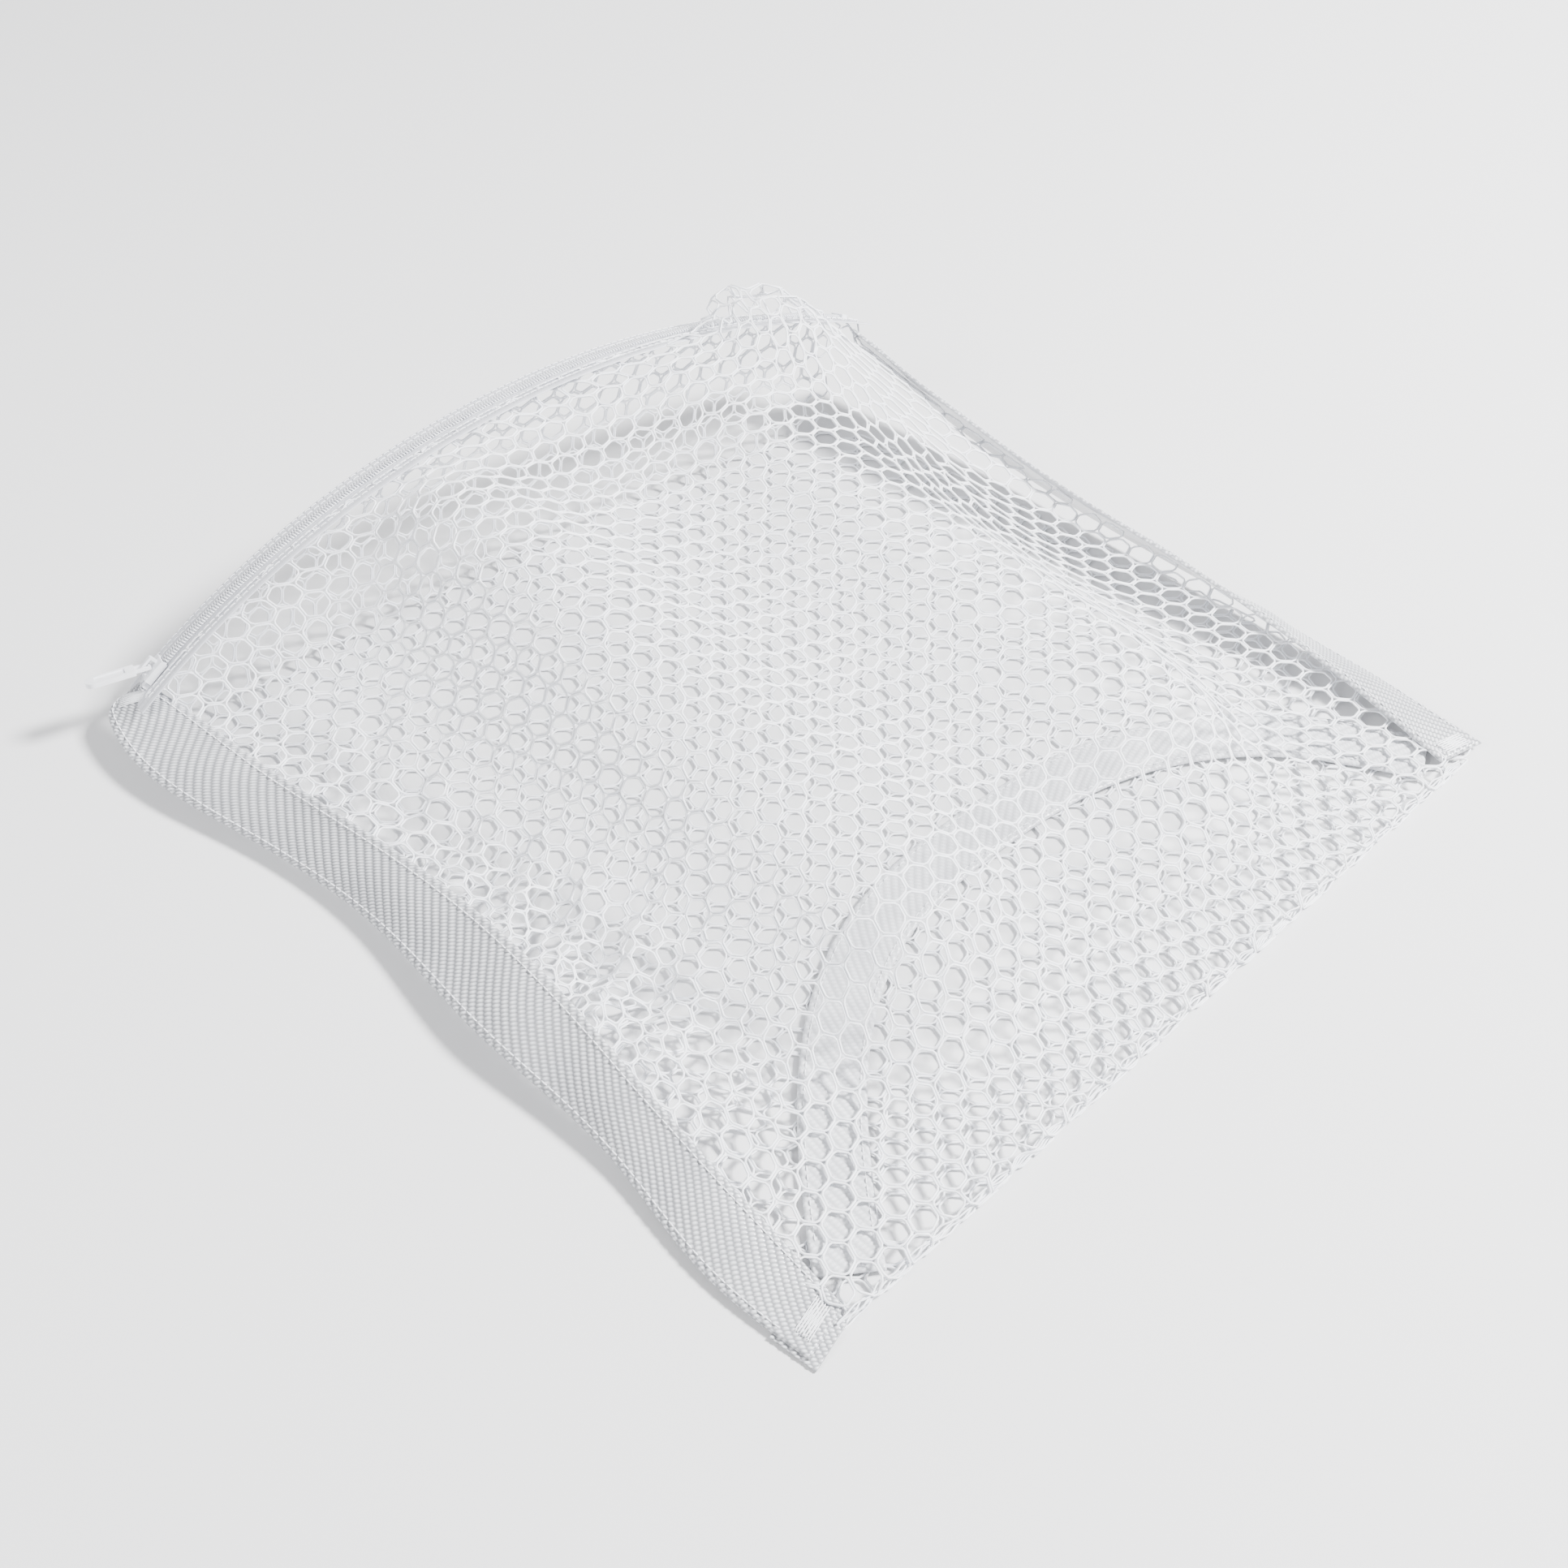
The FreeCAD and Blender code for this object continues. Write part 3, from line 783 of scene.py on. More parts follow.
@dataclass
class Drape:
    """Cloth settings for the upper net."""

    frames: int = 46
    steps: int = 9
    stiffness: float = 12.0
    shear: float = 1.5
    bend: float = 0.08
    mass: float = 0.12
    air: float = 2.0
    clear: float = 1.5 * MM
    flat_height: float = 0.15

    def settle(self, start: np.ndarray, flat: np.ndarray, filling: Filling) -> np.ndarray:
        """Let the net fall on the contents with its edges sewn down.

        Args:
            start: nu x nv x 3 positions to start from.
            flat: nu x nv x 2 places on the flat cloth.
            filling: the contents.

        Returns:
            nu x nv x 3 positions at rest.
        """
        nu, nv = start.shape[:2]
        floor = filling.collider()
        cloth = mesh_object("falling_net", start.reshape(-1, 3), [grid_faces(nu, nv)])
        cloth.shape_key_add(name="Sewn")
        rest = cloth.shape_key_add(name="Flat")
        spread = np.concatenate([flat, np.full((nu, nv, 1), self.flat_height)], axis=-1)
        rest.data.foreach_set("co", spread.astype(np.float32).ravel())
        rest.value = 0.0
        pinned = cloth.vertex_groups.new(name="sewn_edge")
        index = np.arange(nu * nv).reshape(nu, nv)
        edge = np.concatenate([index[0], index[-1], index[1:-1, 0], index[1:-1, -1]])
        pinned.add([int(i) for i in edge], 1.0, "REPLACE")
        modifier = cloth.modifiers.new("Cloth", "CLOTH")
        settings = modifier.settings
        settings.vertex_group_mass = pinned.name
        settings.rest_shape_key = rest
        settings.quality = self.steps
        settings.mass = self.mass
        settings.air_damping = self.air
        settings.tension_stiffness = self.stiffness
        settings.compression_stiffness = self.stiffness
        settings.shear_stiffness = self.shear
        settings.bending_stiffness = self.bend
        modifier.collision_settings.distance_min = self.clear
        modifier.point_cache.frame_start = 1
        modifier.point_cache.frame_end = self.frames
        scene = bpy.context.scene
        for number in range(1, self.frames + 1):
            scene.frame_set(number)
        shown = cloth.evaluated_get(bpy.context.evaluated_depsgraph_get())
        settled = np.empty(nu * nv * 3, np.float32)
        shown.data.vertices.foreach_get("co", settled)
        scene.frame_set(1)
        for piece in (cloth, floor):
            bpy.data.objects.remove(piece, do_unlink=True)
        return settled.reshape(nu, nv, 3).astype(float)


# ---------------------------------------------------------------- net panels
@dataclass
class Net:
    """Knitted honeycomb: one rounded ring of yarn to a cell, each touching its neighbours."""

    column: float = 10.0 * MM
    pitch: float = 11.9 * MM
    yarn: float = 0.48 * MM
    sides: int = 5
    corner: float = 0.15
    waver: float = 0.45 * MM
    waver_length: float = 31.0 * MM

    def cells(self, sheet: Sheet) -> np.ndarray:
        """Places of the rings on the flat cloth.

        Args:
            sheet: the draped surface.

        Returns:
            n x 12 x 2 places, one closed ring to a row.
        """
        reach = float(np.abs(sheet.flat).max()) * 1.5
        columns = int(reach / self.column) + 1
        rows = int(reach / self.pitch) + 1
        i, j = np.meshgrid(np.arange(-columns, columns + 1), np.arange(-rows, rows + 1), indexing="ij")
        x = i * self.column
        y = (j + 0.5 * (i % 2)) * self.pitch
        rightward = np.array([1.0, 1.0]) / math.sqrt(2.0)
        upward = np.array([-1.0, 1.0]) / math.sqrt(2.0)
        centres = x.reshape(-1, 1) * rightward + y.reshape(-1, 1) * upward
        third, half = self.column / 3.0, self.pitch / 2.0
        corners = np.array([(2 * third, 0), (third, half), (-third, half), (-2 * third, 0), (-third, -half),
                            (third, -half)])
        corners *= 1.0 - self.yarn / half
        before, after = np.roll(corners, 1, axis=0), np.roll(corners, -1, axis=0)
        shape = np.stack([corners + (before - corners) * self.corner,
                          corners + (after - corners) * self.corner], axis=1).reshape(-1, 2)
        ring = shape[:, :1] * rightward + shape[:, 1:] * upward
        places = centres[:, None, :] + ring[None, :, :]
        wave = places * (2.0 * math.pi / self.waver_length)
        places = places + self.waver * np.stack([np.sin(wave[..., 1] + 0.7 * np.sin(wave[..., 0] * 0.41)),
                                                 np.sin(wave[..., 0] * 0.83 + 1.3)], axis=-1)
        low, high = sheet.flat.reshape(-1, 2).min(axis=0), sheet.flat.reshape(-1, 2).max(axis=0)
        near = np.all((centres > low - self.pitch) & (centres < high + self.pitch), axis=1)
        return places[near]

    def build(self, name: str, sheet: Sheet,
              extra: tuple[np.ndarray, np.ndarray] | None = None) -> bpy.types.Object:
        """Knit the panel.

        Args:
            name: the piece's name.
            sheet: the draped surface.
            extra: points and faces of more yarns.

        Returns:
            The net.
        """
        places = self.cells(sheet)
        count, length = places.shape[:2]
        u, v = sheet.locate(places.reshape(-1, 2))
        inside = ((u > 0) & (u < 1) & (v > 0) & (v < 1)).reshape(count, length)
        kept = inside.sum(axis=1) >= length // 2
        u, v = u.reshape(count, length)[kept].ravel(), v.reshape(count, length)[kept].ravel()
        u, v = np.clip(u, 0.0, 1.0), np.clip(v, 0.0, 1.0)
        ring = sheet.place(u, v).reshape(-1, length, 3)
        normal = sheet.normal(u, v).reshape(-1, length, 3)
        points, faces = around(ring, normal, self.yarn, self.sides, closed=True)
        if extra is None:
            return mesh_object(name, points, [faces])
        return mesh_object(name, np.concatenate([points, extra[0]]), [faces, extra[1] + len(points)])


@dataclass
class UpperPanel:
    """The net over the contents."""

    CUT_SMOOTHINGS = 60     # times that the cut's width and length are evened out
    TENT_ROUNDS = 420       # steps in which the tent's skin settles

    chain: Chain
    outline: Outline
    wardrobe: Wardrobe
    rows: int = 98
    columns: int = 94
    flat_size: tuple[float, float] = (0.40, 0.42)
    widths: tuple[float, ...] = (0.402, 0.424, 0.428, 0.420, 0.408, 0.392, 0.382)
    lengths: tuple[float, ...] = (0.408, 0.414, 0.412, 0.404, 0.360)
    bunch: float = 0.024
    gather: float = 0.024
    bunch_at: float = 0.56
    slack: tuple[tuple[float, float, float, float, float], ...] = (
        (0.020, -0.138, 0.075, 0.030, 1.0), (-0.120, -0.140, 0.050, 0.028, 0.5))
    ridge: float = 5.2 * MM
    cross_ridge: float = 2.6 * MM
    lift: float = 2.8 * MM
    toe_ripple: float = 0.56 * MM
    tape_lap: float = 7.5 * MM
    on_tape: float = 1.3 * MM
    foot_height: float = 2.6 * MM
    over_contents: float = 3.0 * MM
    lowest_start: float = 4.0 * MM
    lowest: float = 2.4 * MM

    def cut(self) -> np.ndarray:
        """Return the places of the grid's points on the flat net, which is widest over the contents."""
        u = np.linspace(0.0, 1.0, self.rows)[:, None]
        v = np.linspace(0.0, 1.0, self.columns)[None, :]
        width = np.interp(u, np.linspace(0.0, 1.0, len(self.widths)), self.widths)
        length = np.interp(v, np.linspace(0.0, 1.0, len(self.lengths)), self.lengths)
        for _ in range(self.CUT_SMOOTHINGS):
            width[1:-1] = (width[:-2] + 2.0 * width[1:-1] + width[2:]) / 4.0
            length[:, 1:-1] = (length[:, :-2] + 2.0 * length[:, 1:-1] + length[:, 2:]) / 4.0
        off = u - self.bunch_at
        extra = self.bunch * np.exp(-(off / 0.20) ** 2)
        across = width * (v - 0.5) - extra * (1.0 - v) ** 7
        gathered = self.gather * np.tanh(off / 0.12) * np.exp(-(off / 0.26) ** 2)
        along = length * (u - 0.5) + gathered * np.exp(-(v / 0.17) ** 2)
        return np.stack([along, across], axis=-1)

    def crumple(self, points: np.ndarray) -> np.ndarray:
        """Fold the slack beside the front band into uneven ridges.

        Args:
            points: nu x nv x 3 positions.

        Returns:
            The same grid with its slack pushed up.
        """
        x, y = points[..., 0], points[..., 1]
        slack = np.zeros_like(x)
        for middle_x, middle_y, long, wide, share in self.slack:
            slack += share * np.exp(-((x - middle_x) / long) ** 2 - ((y - middle_y) / wide) ** 2)
        toe = np.exp(-((x - 0.165) / 0.018) ** 2 - (y / 0.15) ** 4)
        ridges = np.sin(x / (4.6 * MM) + 1.3 * np.sin(y / (11 * MM)) + 34.0 * (y + 0.14))
        cross = np.sin(y / (5.2 * MM) + 1.1 * np.sin(x / (17 * MM)))
        rise = (self.ridge * ridges + self.cross_ridge * cross + self.lift) * slack
        rise += self.toe_ripple * toe * cross
        normal = unit(np.cross(np.gradient(points, axis=0), np.gradient(points, axis=1)))
        return np.where(self.edge()[..., None], points, points + normal * rise[..., None])

    def start(self) -> np.ndarray:
        """Return the surface that the net starts to fall from."""
        share, line = np.linspace(0.0, 1.0, self.rows), np.linspace(0.0, 1.0, self.columns)
        mouth = self.chain.seam(line, -self.tape_lap, self.on_tape)
        front = self.outline.under(self.outline.front_high, self.outline.front_low, share)
        rear = self.outline.under(self.outline.rear_high, self.outline.rear_low, share)
        foot = front[-1] + (rear[-1] - front[-1]) * line[:, None]
        foot[:, 0], foot[:, 2] = self.outline.foot_x, self.foot_height
        front[-1], rear[-1] = foot[0], foot[-1]
        front[0], rear[0] = mouth[0], mouth[-1]
        u, v = share[:, None, None], line[None, :, None]
        sides = front[:, None] * (1 - v) + rear[:, None] * v
        ends = mouth[None] * (1 - u) + foot[None] * u
        front_chord = front[0] * (1 - u) + front[-1] * u
        rear_chord = rear[0] * (1 - u) + rear[-1] * u
        base = sides + ends - (front_chord * (1 - v) + rear_chord * v)
        cover = Filling().height(base[..., 0], base[..., 1]) + self.over_contents
        low = np.where(self.edge(), base[..., 2], np.maximum(cover, self.lowest_start))
        base[..., 2] = np.where(self.edge(), base[..., 2], self.tent(low))
        return self.crumple(self.evened(base))

    def edge(self) -> np.ndarray:
        """Return which points of the grid are sewn down."""
        sewn = np.zeros((self.rows, self.columns), bool)
        sewn[[0, -1], :] = True
        sewn[:, [0, -1]] = True
        return sewn

    def tent(self, low: np.ndarray, sag: float = 0.05 * MM) -> np.ndarray:
        """Stretch a skin over heights, held down at its edges.

        Args:
            low: heights that the skin can't sink below.
            sag: how far each point hangs below the middle of its neighbours.

        Returns:
            The skin's heights.
        """
        skin = low.copy()
        for _ in range(self.TENT_ROUNDS):
            beside = (skin[:-2, 1:-1] + skin[2:, 1:-1] + skin[1:-1, :-2] + skin[1:-1, 2:]) / 4.0
            skin[1:-1, 1:-1] = np.maximum(low[1:-1, 1:-1], beside - sag)
        return skin

    @staticmethod
    def evened(points: np.ndarray, kept: float = 0.25) -> np.ndarray:
        """Space the points of a grid more evenly along its rows and columns.

        Args:
            points: nu x nv x 3 positions.
            kept: share of the old spacing that is kept.

        Returns:
            The same surface and edges with its inner points moved along it.
        """
        for axis in (0, 1):
            turned = points if axis else points.transpose(1, 0, 2)
            moved = turned.copy()
            for row, line in enumerate(turned[1:-1], start=1):
                step = np.linalg.norm(np.diff(line, axis=0), axis=1)
                share = np.concatenate([[0.0], np.cumsum(step)]) / step.sum()
                spots = (1.0 - kept) * np.linspace(0.0, 1.0, len(line)) + kept * share
                for k in range(3):
                    moved[row, :, k] = np.interp(spots, share, line[:, k])
            points = moved if axis else moved.transpose(1, 0, 2)
        return points

    @staticmethod
    def fold(sheet: Sheet, yarns: int = 5, radius: float = 0.36 * MM) -> tuple[np.ndarray, np.ndarray]:
        """Gather the yarns that run along the fold at the foot.

        Args:
            sheet: the draped surface.
            yarns: how many of them show.
            radius: their radius.

        Returns:
            Points and faces of those yarns.
        """
        share = np.linspace(0.0, 1.0, 420)
        middle = sheet.place(np.ones_like(share), share)
        lines = []
        for number in range(yarns):
            swing = np.sin(share * (95.0 + 17.0 * number) + number * 1.9)
            swing = swing + 0.6 * np.sin(share * 231.0 + number)
            line = middle.copy()
            line[:, 0] += (0.55 * swing - 0.45 * number - 0.5) * MM
            line[:, 2] += (0.62 * (number - 2) + 0.3 * np.cos(share * 140.0 + number)) * MM
            line[:, 2] = np.maximum(line[:, 2], 0.7 * MM)
            lines.append(line)
        ring = np.stack(lines)
        up = np.broadcast_to(np.array([0.0, 0.0, 1.0]), ring.shape)
        return around(ring, up, radius, 5, closed=False)

    def build(self) -> None:
        """Drape and knit the panel."""
        start, flat = self.start(), self.cut()
        settled = Drape().settle(start, flat, Filling())
        height = settled[..., 2]
        settled[..., 2] = np.where(self.edge(), height, np.maximum(height, self.lowest))
        sheet = Sheet(settled, flat)
        piece = Net().build("upper_net", sheet, self.fold(sheet))
        self.wardrobe.dress(piece, Slot.MESH)
        join_bag(piece, "upper_mesh_panel")


@dataclass
class LowerPanel:
    """The net on the floor and up the wall below the zipper."""

    chain: Chain
    outline: Outline
    wardrobe: Wardrobe
    rows: int = 90
    columns: int = 60
    flat_size: tuple[float, float] = (0.40, 0.46)
    wall_share: float = 0.20
    wall_bulge: float = 0.10
    rest: float = 0.9 * MM
    tape_lap: float = 10.0 * MM
    under_tape: float = -0.6 * MM
    side_lap: float = 3.0 * MM
    side_drop: float = 0.5 * MM
    gather: float = 18.0 * MM
    gather_at: float = 0.60
    ridge: float = 3.4 * MM
    lift: float = 4.0 * MM

    def wall(self, heel: np.ndarray, rows: int) -> np.ndarray:
        """Net from the zipper down to the floor.

        Args:
            heel: the line where it meets the floor.
            rows: rows of the grid that the wall takes.

        Returns:
            rows x nv x 3 positions.
        """
        top = self.chain.seam(np.linspace(0.0, 1.0, self.columns), self.tape_lap, self.under_tape)
        share = (np.arange(rows) / rows)[:, None, None]
        wall = top * (1 - share) + heel * share
        wall[..., 0] -= np.sin(math.pi * share[..., 0]) * self.wall_bulge * (top[:, 2] - self.rest)
        return wall

    def floor(self, heel: np.ndarray, rows: int) -> np.ndarray:
        """Net along the floor, raised to the side bands at its edges.

        Args:
            heel: the line where it meets the wall.
            rows: rows of the grid that it takes.

        Returns:
            rows x nv x 3 positions.
        """
        line = np.linspace(0.0, 1.0, self.columns)
        share = np.linspace(0.0, 1.0, self.rows)[-rows:]
        share = (share - share[0]) / (1.0 - share[0])
        drop = np.array([0.0, 0.0, self.side_drop])
        lap = np.array([0.0, self.side_lap, 0.0])
        front = self.outline.front_low.at(0.04 + 0.96 * share) + lap - drop
        rear = self.outline.rear_low.at(share) - lap - drop
        u, v = share[:, None, None], line[None, :, None]
        across = front[:, None] * (1 - v) + rear[:, None] * v
        floor = across + (heel - across[0])[None] * (1 - u) ** 3
        floor[..., 0] += (self.outline.foot_x - floor[-1:, :, 0]) * u[..., 0] ** 4
        edge = ease(1.0 - np.minimum(line, 1.0 - line) / 0.08)[None, :]
        floor[..., 2] = self.rest + (floor[..., 2] - self.rest) * edge
        return floor

    def crumpled(self, floor: np.ndarray) -> np.ndarray:
        """Raise the slack beside the front band in uneven ridges.

        Args:
            floor: nu x nv x 3 positions on the floor.

        Returns:
            The heights of the same points.
        """
        x, y = floor[..., 0], floor[..., 1]
        slack = np.exp(-((x - 0.020) / 0.080) ** 2 - ((y + 0.160) / 0.028) ** 2)
        slack = slack * ease(np.linspace(0.0, 1.0, self.columns) / 0.05)[None, :]
        ridges = np.sin(x / (5.3 * MM) + 1.7 * np.sin(y / (13 * MM)))
        ridges = ridges + 0.5 * np.sin(y / (4.7 * MM) + x / (20 * MM))
        return floor[..., 2] + slack * (self.lift + self.ridge * ridges)

    def surface(self) -> np.ndarray:
        """Return the panel's surface, from the zipper down the wall and along the floor."""
        line = np.linspace(0.0, 1.0, self.columns)
        heel = np.stack([-0.203 + 0.044 * line ** 2, -0.186 + 0.362 * line, np.full_like(line, self.rest)],
                        axis=-1)
        wall_rows = int(self.rows * self.wall_share)
        floor = self.floor(heel, self.rows - wall_rows)
        floor[..., 2] = self.crumpled(floor)
        grid = np.concatenate([self.wall(heel, wall_rows), floor])
        grid[..., 2] = np.maximum(grid[..., 2], self.rest)
        return grid

    def cut(self, surface: np.ndarray) -> np.ndarray:
        """Lay out the flat net, with slack beside the front band.

        Args:
            surface: nu x nv x 3 positions.

        Returns:
            nu x nv x 2 places on the flat net.
        """
        flat = unroll(surface)
        off = np.linspace(0.0, 1.0, self.rows)[:, None] - self.gather_at
        v = np.linspace(0.0, 1.0, self.columns)[None, :]
        flat[..., 0] += self.gather * np.tanh(off / 0.11) * np.exp(-(off / 0.24) ** 2 - (v / 0.16) ** 2)
        return flat

    def build(self) -> None:
        """Knit the panel."""
        surface = self.surface()
        piece = Net().build("lower_net", Sheet(surface, self.cut(surface)))
        self.wardrobe.dress(piece, Slot.MESH)
        join_bag(piece, "lower_mesh_panel")


# ---------------------------------------------------------------- side bands
@dataclass
class TwillBand:
    """Woven tape with slanting ribs of raised beads."""

    LIP_LENGTH = (0.955, 1.0)        # stretch of the tape that is folded under, as shares of its length
    LIP_WIDTH = (0.05, 0.96)         # and of its width
    LIP_SHIFT = (4.6, -2.4, 0.0)     # millimetres that the fold stands out from under the end
    LIP_DEPTH = (0.9, 1.5)           # millimetres of its two faces below the tape
    LIP_FLOOR = (0.7, 0.15)          # least heights of those faces, in millimetres

    name: str
    node: str
    high: SmoothLine
    low: SmoothLine
    wardrobe: Wardrobe
    mirrored: bool = False
    arch: float = 1.0 * MM
    ripple: float = 0.9 * MM
    ripple_length: float = 12.5 * MM
    lean_length: float = 31.0 * MM
    thickness: float = 1.2 * MM
    grain: float = 0.46 * MM
    rib: float = 3.3 * MM
    bead: float = 1.8 * MM
    relief: float = 0.56 * MM
    rim: float = 0.9 * MM
    # Least value of the painted-shade mask: 0.5 lays only half of the painted shade in the sunken parts of
    # the weave.
    shade_mask_floor: float = 0.0
    folded_under: bool = False
    slant: float = math.radians(38.0)

    def __post_init__(self) -> None:
        """Measure the band."""
        half = np.array([0.5])
        self.length = self.low.length
        self.width = float(np.linalg.norm(self.high.at(half) - self.low.at(half)))

    def surface(self, u: np.ndarray, v: np.ndarray) -> tuple[np.ndarray, np.ndarray]:
        """Middle of the tape's back.

        Args:
            u: shares along the tape.
            v: shares across it, from its low edge to its high edge.

        Returns:
            Positions and outward normals, each of shape (nu, nv, 3).
        """
        low, high = self.low.at(u), self.high.at(u)
        points = low[:, None] * (1 - v[None, :, None]) + high[:, None] * v[None, :, None]
        along, across = np.gradient(points, axis=0), np.gradient(points, axis=1)
        normal = unit(np.cross(along, across)) * (-1.0 if self.mirrored else 1.0)
        bow = np.sin(math.pi * v)[None, :]
        wave = np.sin(u * self.length / self.ripple_length + 1.6 * np.sin(u * 9.0))[:, None]
        lean = np.sin(u * self.length / self.lean_length + v.mean())[:, None] * (v - 0.5)[None, :]
        crown = bow * (self.arch + self.ripple * (wave + lean))
        return points + normal * crown[..., None], normal

    def weave(self, along: np.ndarray, across: np.ndarray) -> np.ndarray:
        """How raised the weave is, from 0 in its sunken parts to 1 on its beads; it sets the relief and also
        the painted shade.

        Args:
            along: distances along the tape.
            across: distances across it.

        Returns:
            The share of the relief at each place.
        """
        up_rib = along * math.cos(self.slant) - across * math.sin(self.slant)
        over_rib = along * math.sin(self.slant) + across * math.cos(self.slant)
        number = np.floor(over_rib / self.rib)
        ridge = np.abs(np.sin(math.pi * over_rib / self.rib)) ** 0.9
        beads = 0.5 + 0.5 * np.cos(2.0 * math.pi * (up_rib / self.bead + 0.5 * (number % 2)))
        return ridge * (0.12 + 0.88 * beads ** 0.7)

    def tape(self) -> tuple[np.ndarray, list[np.ndarray], np.ndarray]:
        """Return the tape's points, faces and painted-shade mask, which follows the weave."""
        u = np.linspace(0.0, 1.0, int(self.length / self.grain))
        v = np.linspace(0.0, 1.0, int(self.width / self.grain))
        points, normal = self.surface(u, v)
        weave = self.weave((u * self.length)[:, None], (v * self.width)[None, :])
        beside = ease(np.minimum(v, 1.0 - v) * self.width / self.rim)[None, :]
        before = ease(np.minimum(u, 1.0 - u) * self.length / self.rim)[:, None]
        height = 0.35 * self.thickness + (0.5 * self.thickness + self.relief * weave) * beside * before
        corners, faces = slab(points + normal * height[..., None], points - normal * 0.15 * MM)
        faces = [block[:, ::-1] for block in faces] if self.mirrored else faces
        # Painted shade mask: the sunken parts of the weave are darkened, lifted by the least mask value.
        tone = self.shade_mask_floor + (1.0 - self.shade_mask_floor) * weave
        return corners, faces, with_back(tone, corners)

    def lip(self) -> tuple[np.ndarray, list[np.ndarray], np.ndarray]:
        """Return the points, faces and painted-shade mask of the end that is folded under at the foot."""
        u, v = np.linspace(*self.LIP_LENGTH, 44), np.linspace(*self.LIP_WIDTH, 60)
        points, normal = self.surface(u, v)
        points = points + np.array(self.LIP_SHIFT) * MM
        weave = self.weave((u * self.length)[:, None], (v * self.width)[None, :])
        outer, inner = (points - normal * depth * MM for depth in self.LIP_DEPTH)
        for face, least in zip((outer, inner), self.LIP_FLOOR):
            face[..., 2] = np.maximum(face[..., 2], least * MM)
        corners, faces = slab(outer + normal * (self.relief * weave)[..., None], inner)
        # The folded end takes the full painted shade in the sunken parts of its weave.
        return corners, faces, with_back(weave, corners)

    def build(self) -> None:
        """Weave the band."""
        corners, faces, weave = self.tape()
        if self.folded_under:
            more, more_faces, more_weave = self.lip()
            faces = faces + [block + len(corners) for block in more_faces]
            corners = np.concatenate([corners, more])
            weave = np.concatenate([weave, more_weave])
        piece = mesh_object(self.name, corners, faces, weave)
        self.wardrobe.dress(piece, Slot.BAND)
        join_bag(piece, self.node)

    def face(self) -> Sheet:
        """Return the tape's outer face as a smooth sheet, for thread to lie on."""
        points, normal = self.surface(np.linspace(0.0, 1.0, 240), np.linspace(0.0, 1.0, 13))
        raised = points + normal * (0.85 * self.thickness + 0.7 * self.relief)
        sheet = Sheet(raised, np.zeros(raised.shape[:2] + (2,)))
        sheet.normals = normal
        return sheet


@dataclass
class Seams:
    """Thread along the bands and the dense stitching at their ends."""

    ROWS = (0.10, 0.90)          # places of the rows across a band, 0 at its low edge
    TACKS = (0.040, 0.985)       # places of the dense zigzags along a band

    wardrobe: Wardrobe
    pitch: float = 3.6 * MM
    length: float = 2.7 * MM
    thread: float = 0.24 * MM
    crown: float = 0.42 * MM
    sunk: float = 0.22 * MM
    tack_length: float = 7.0 * MM
    tack_half: float = 0.30
    tack_turns: float = 13.0

    def rows(self, band: TwillBand, name: str, node: str) -> None:
        """Sew rows of stitches along a band.

        Args:
            band: the band.
            name: the piece's name.
            node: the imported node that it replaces.
        """
        face = band.face()
        start = np.arange(0.03, 0.965, self.pitch / band.length)
        share = np.linspace(0.0, 1.0, 7)
        u = np.tile(start[:, None] + share[None, :] * self.length / band.length, (len(self.ROWS), 1))
        v = np.repeat(np.array(self.ROWS), len(start))[:, None] + np.zeros_like(u)
        normal = face.normal(u.ravel(), v.ravel()).reshape(*u.shape, 3)
        line = face.place(u.ravel(), v.ravel()).reshape(*u.shape, 3)
        line = line + normal * (self.crown * np.sin(math.pi * share) ** 0.6 - self.sunk)[None, :, None]
        points, faces = capped(line, normal, self.thread, 6)
        self.finish(name, node, points, faces)

    def tacks(self, bands: tuple[TwillBand, ...]) -> None:
        """Sew the four dense zigzags that close the seam ends.

        Args:
            bands: the two side bands.
        """
        share = np.linspace(0.0, 1.0, 240)
        lines, normals = [], []
        for band in bands:
            face = band.face()
            for middle in self.TACKS:
                swing = 2.0 * np.abs(((share * self.tack_turns) % 2.0) - 1.0) - 1.0
                v = 0.5 + self.tack_half * swing
                u = middle + (share - 0.5) * self.tack_length / band.length
                normal = face.normal(u, v)
                lines.append(face.place(u, v) + normal * 0.12 * MM)
                normals.append(normal)
        points, faces = capped(np.stack(lines), np.stack(normals), self.thread, 6)
        self.finish("bar_tacks", "corner_bar_tacks", points, faces)

    def finish(self, name: str, node: str, points: np.ndarray, faces: list[np.ndarray]) -> None:
        """Make a piece of thread.

        Args:
            name: the piece's name.
            node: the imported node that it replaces.
            points: its points.
            faces: its faces.
        """
        piece = mesh_object(name, points, faces)
        self.wardrobe.dress(piece, Slot.THREAD)
        join_bag(piece, node)


# ---------------------------------------------------------------- the zipper
class Side(Enum):
    """The two sides of the zipper, as signs across the chain."""

    UPPER = -1
    LOWER = 1


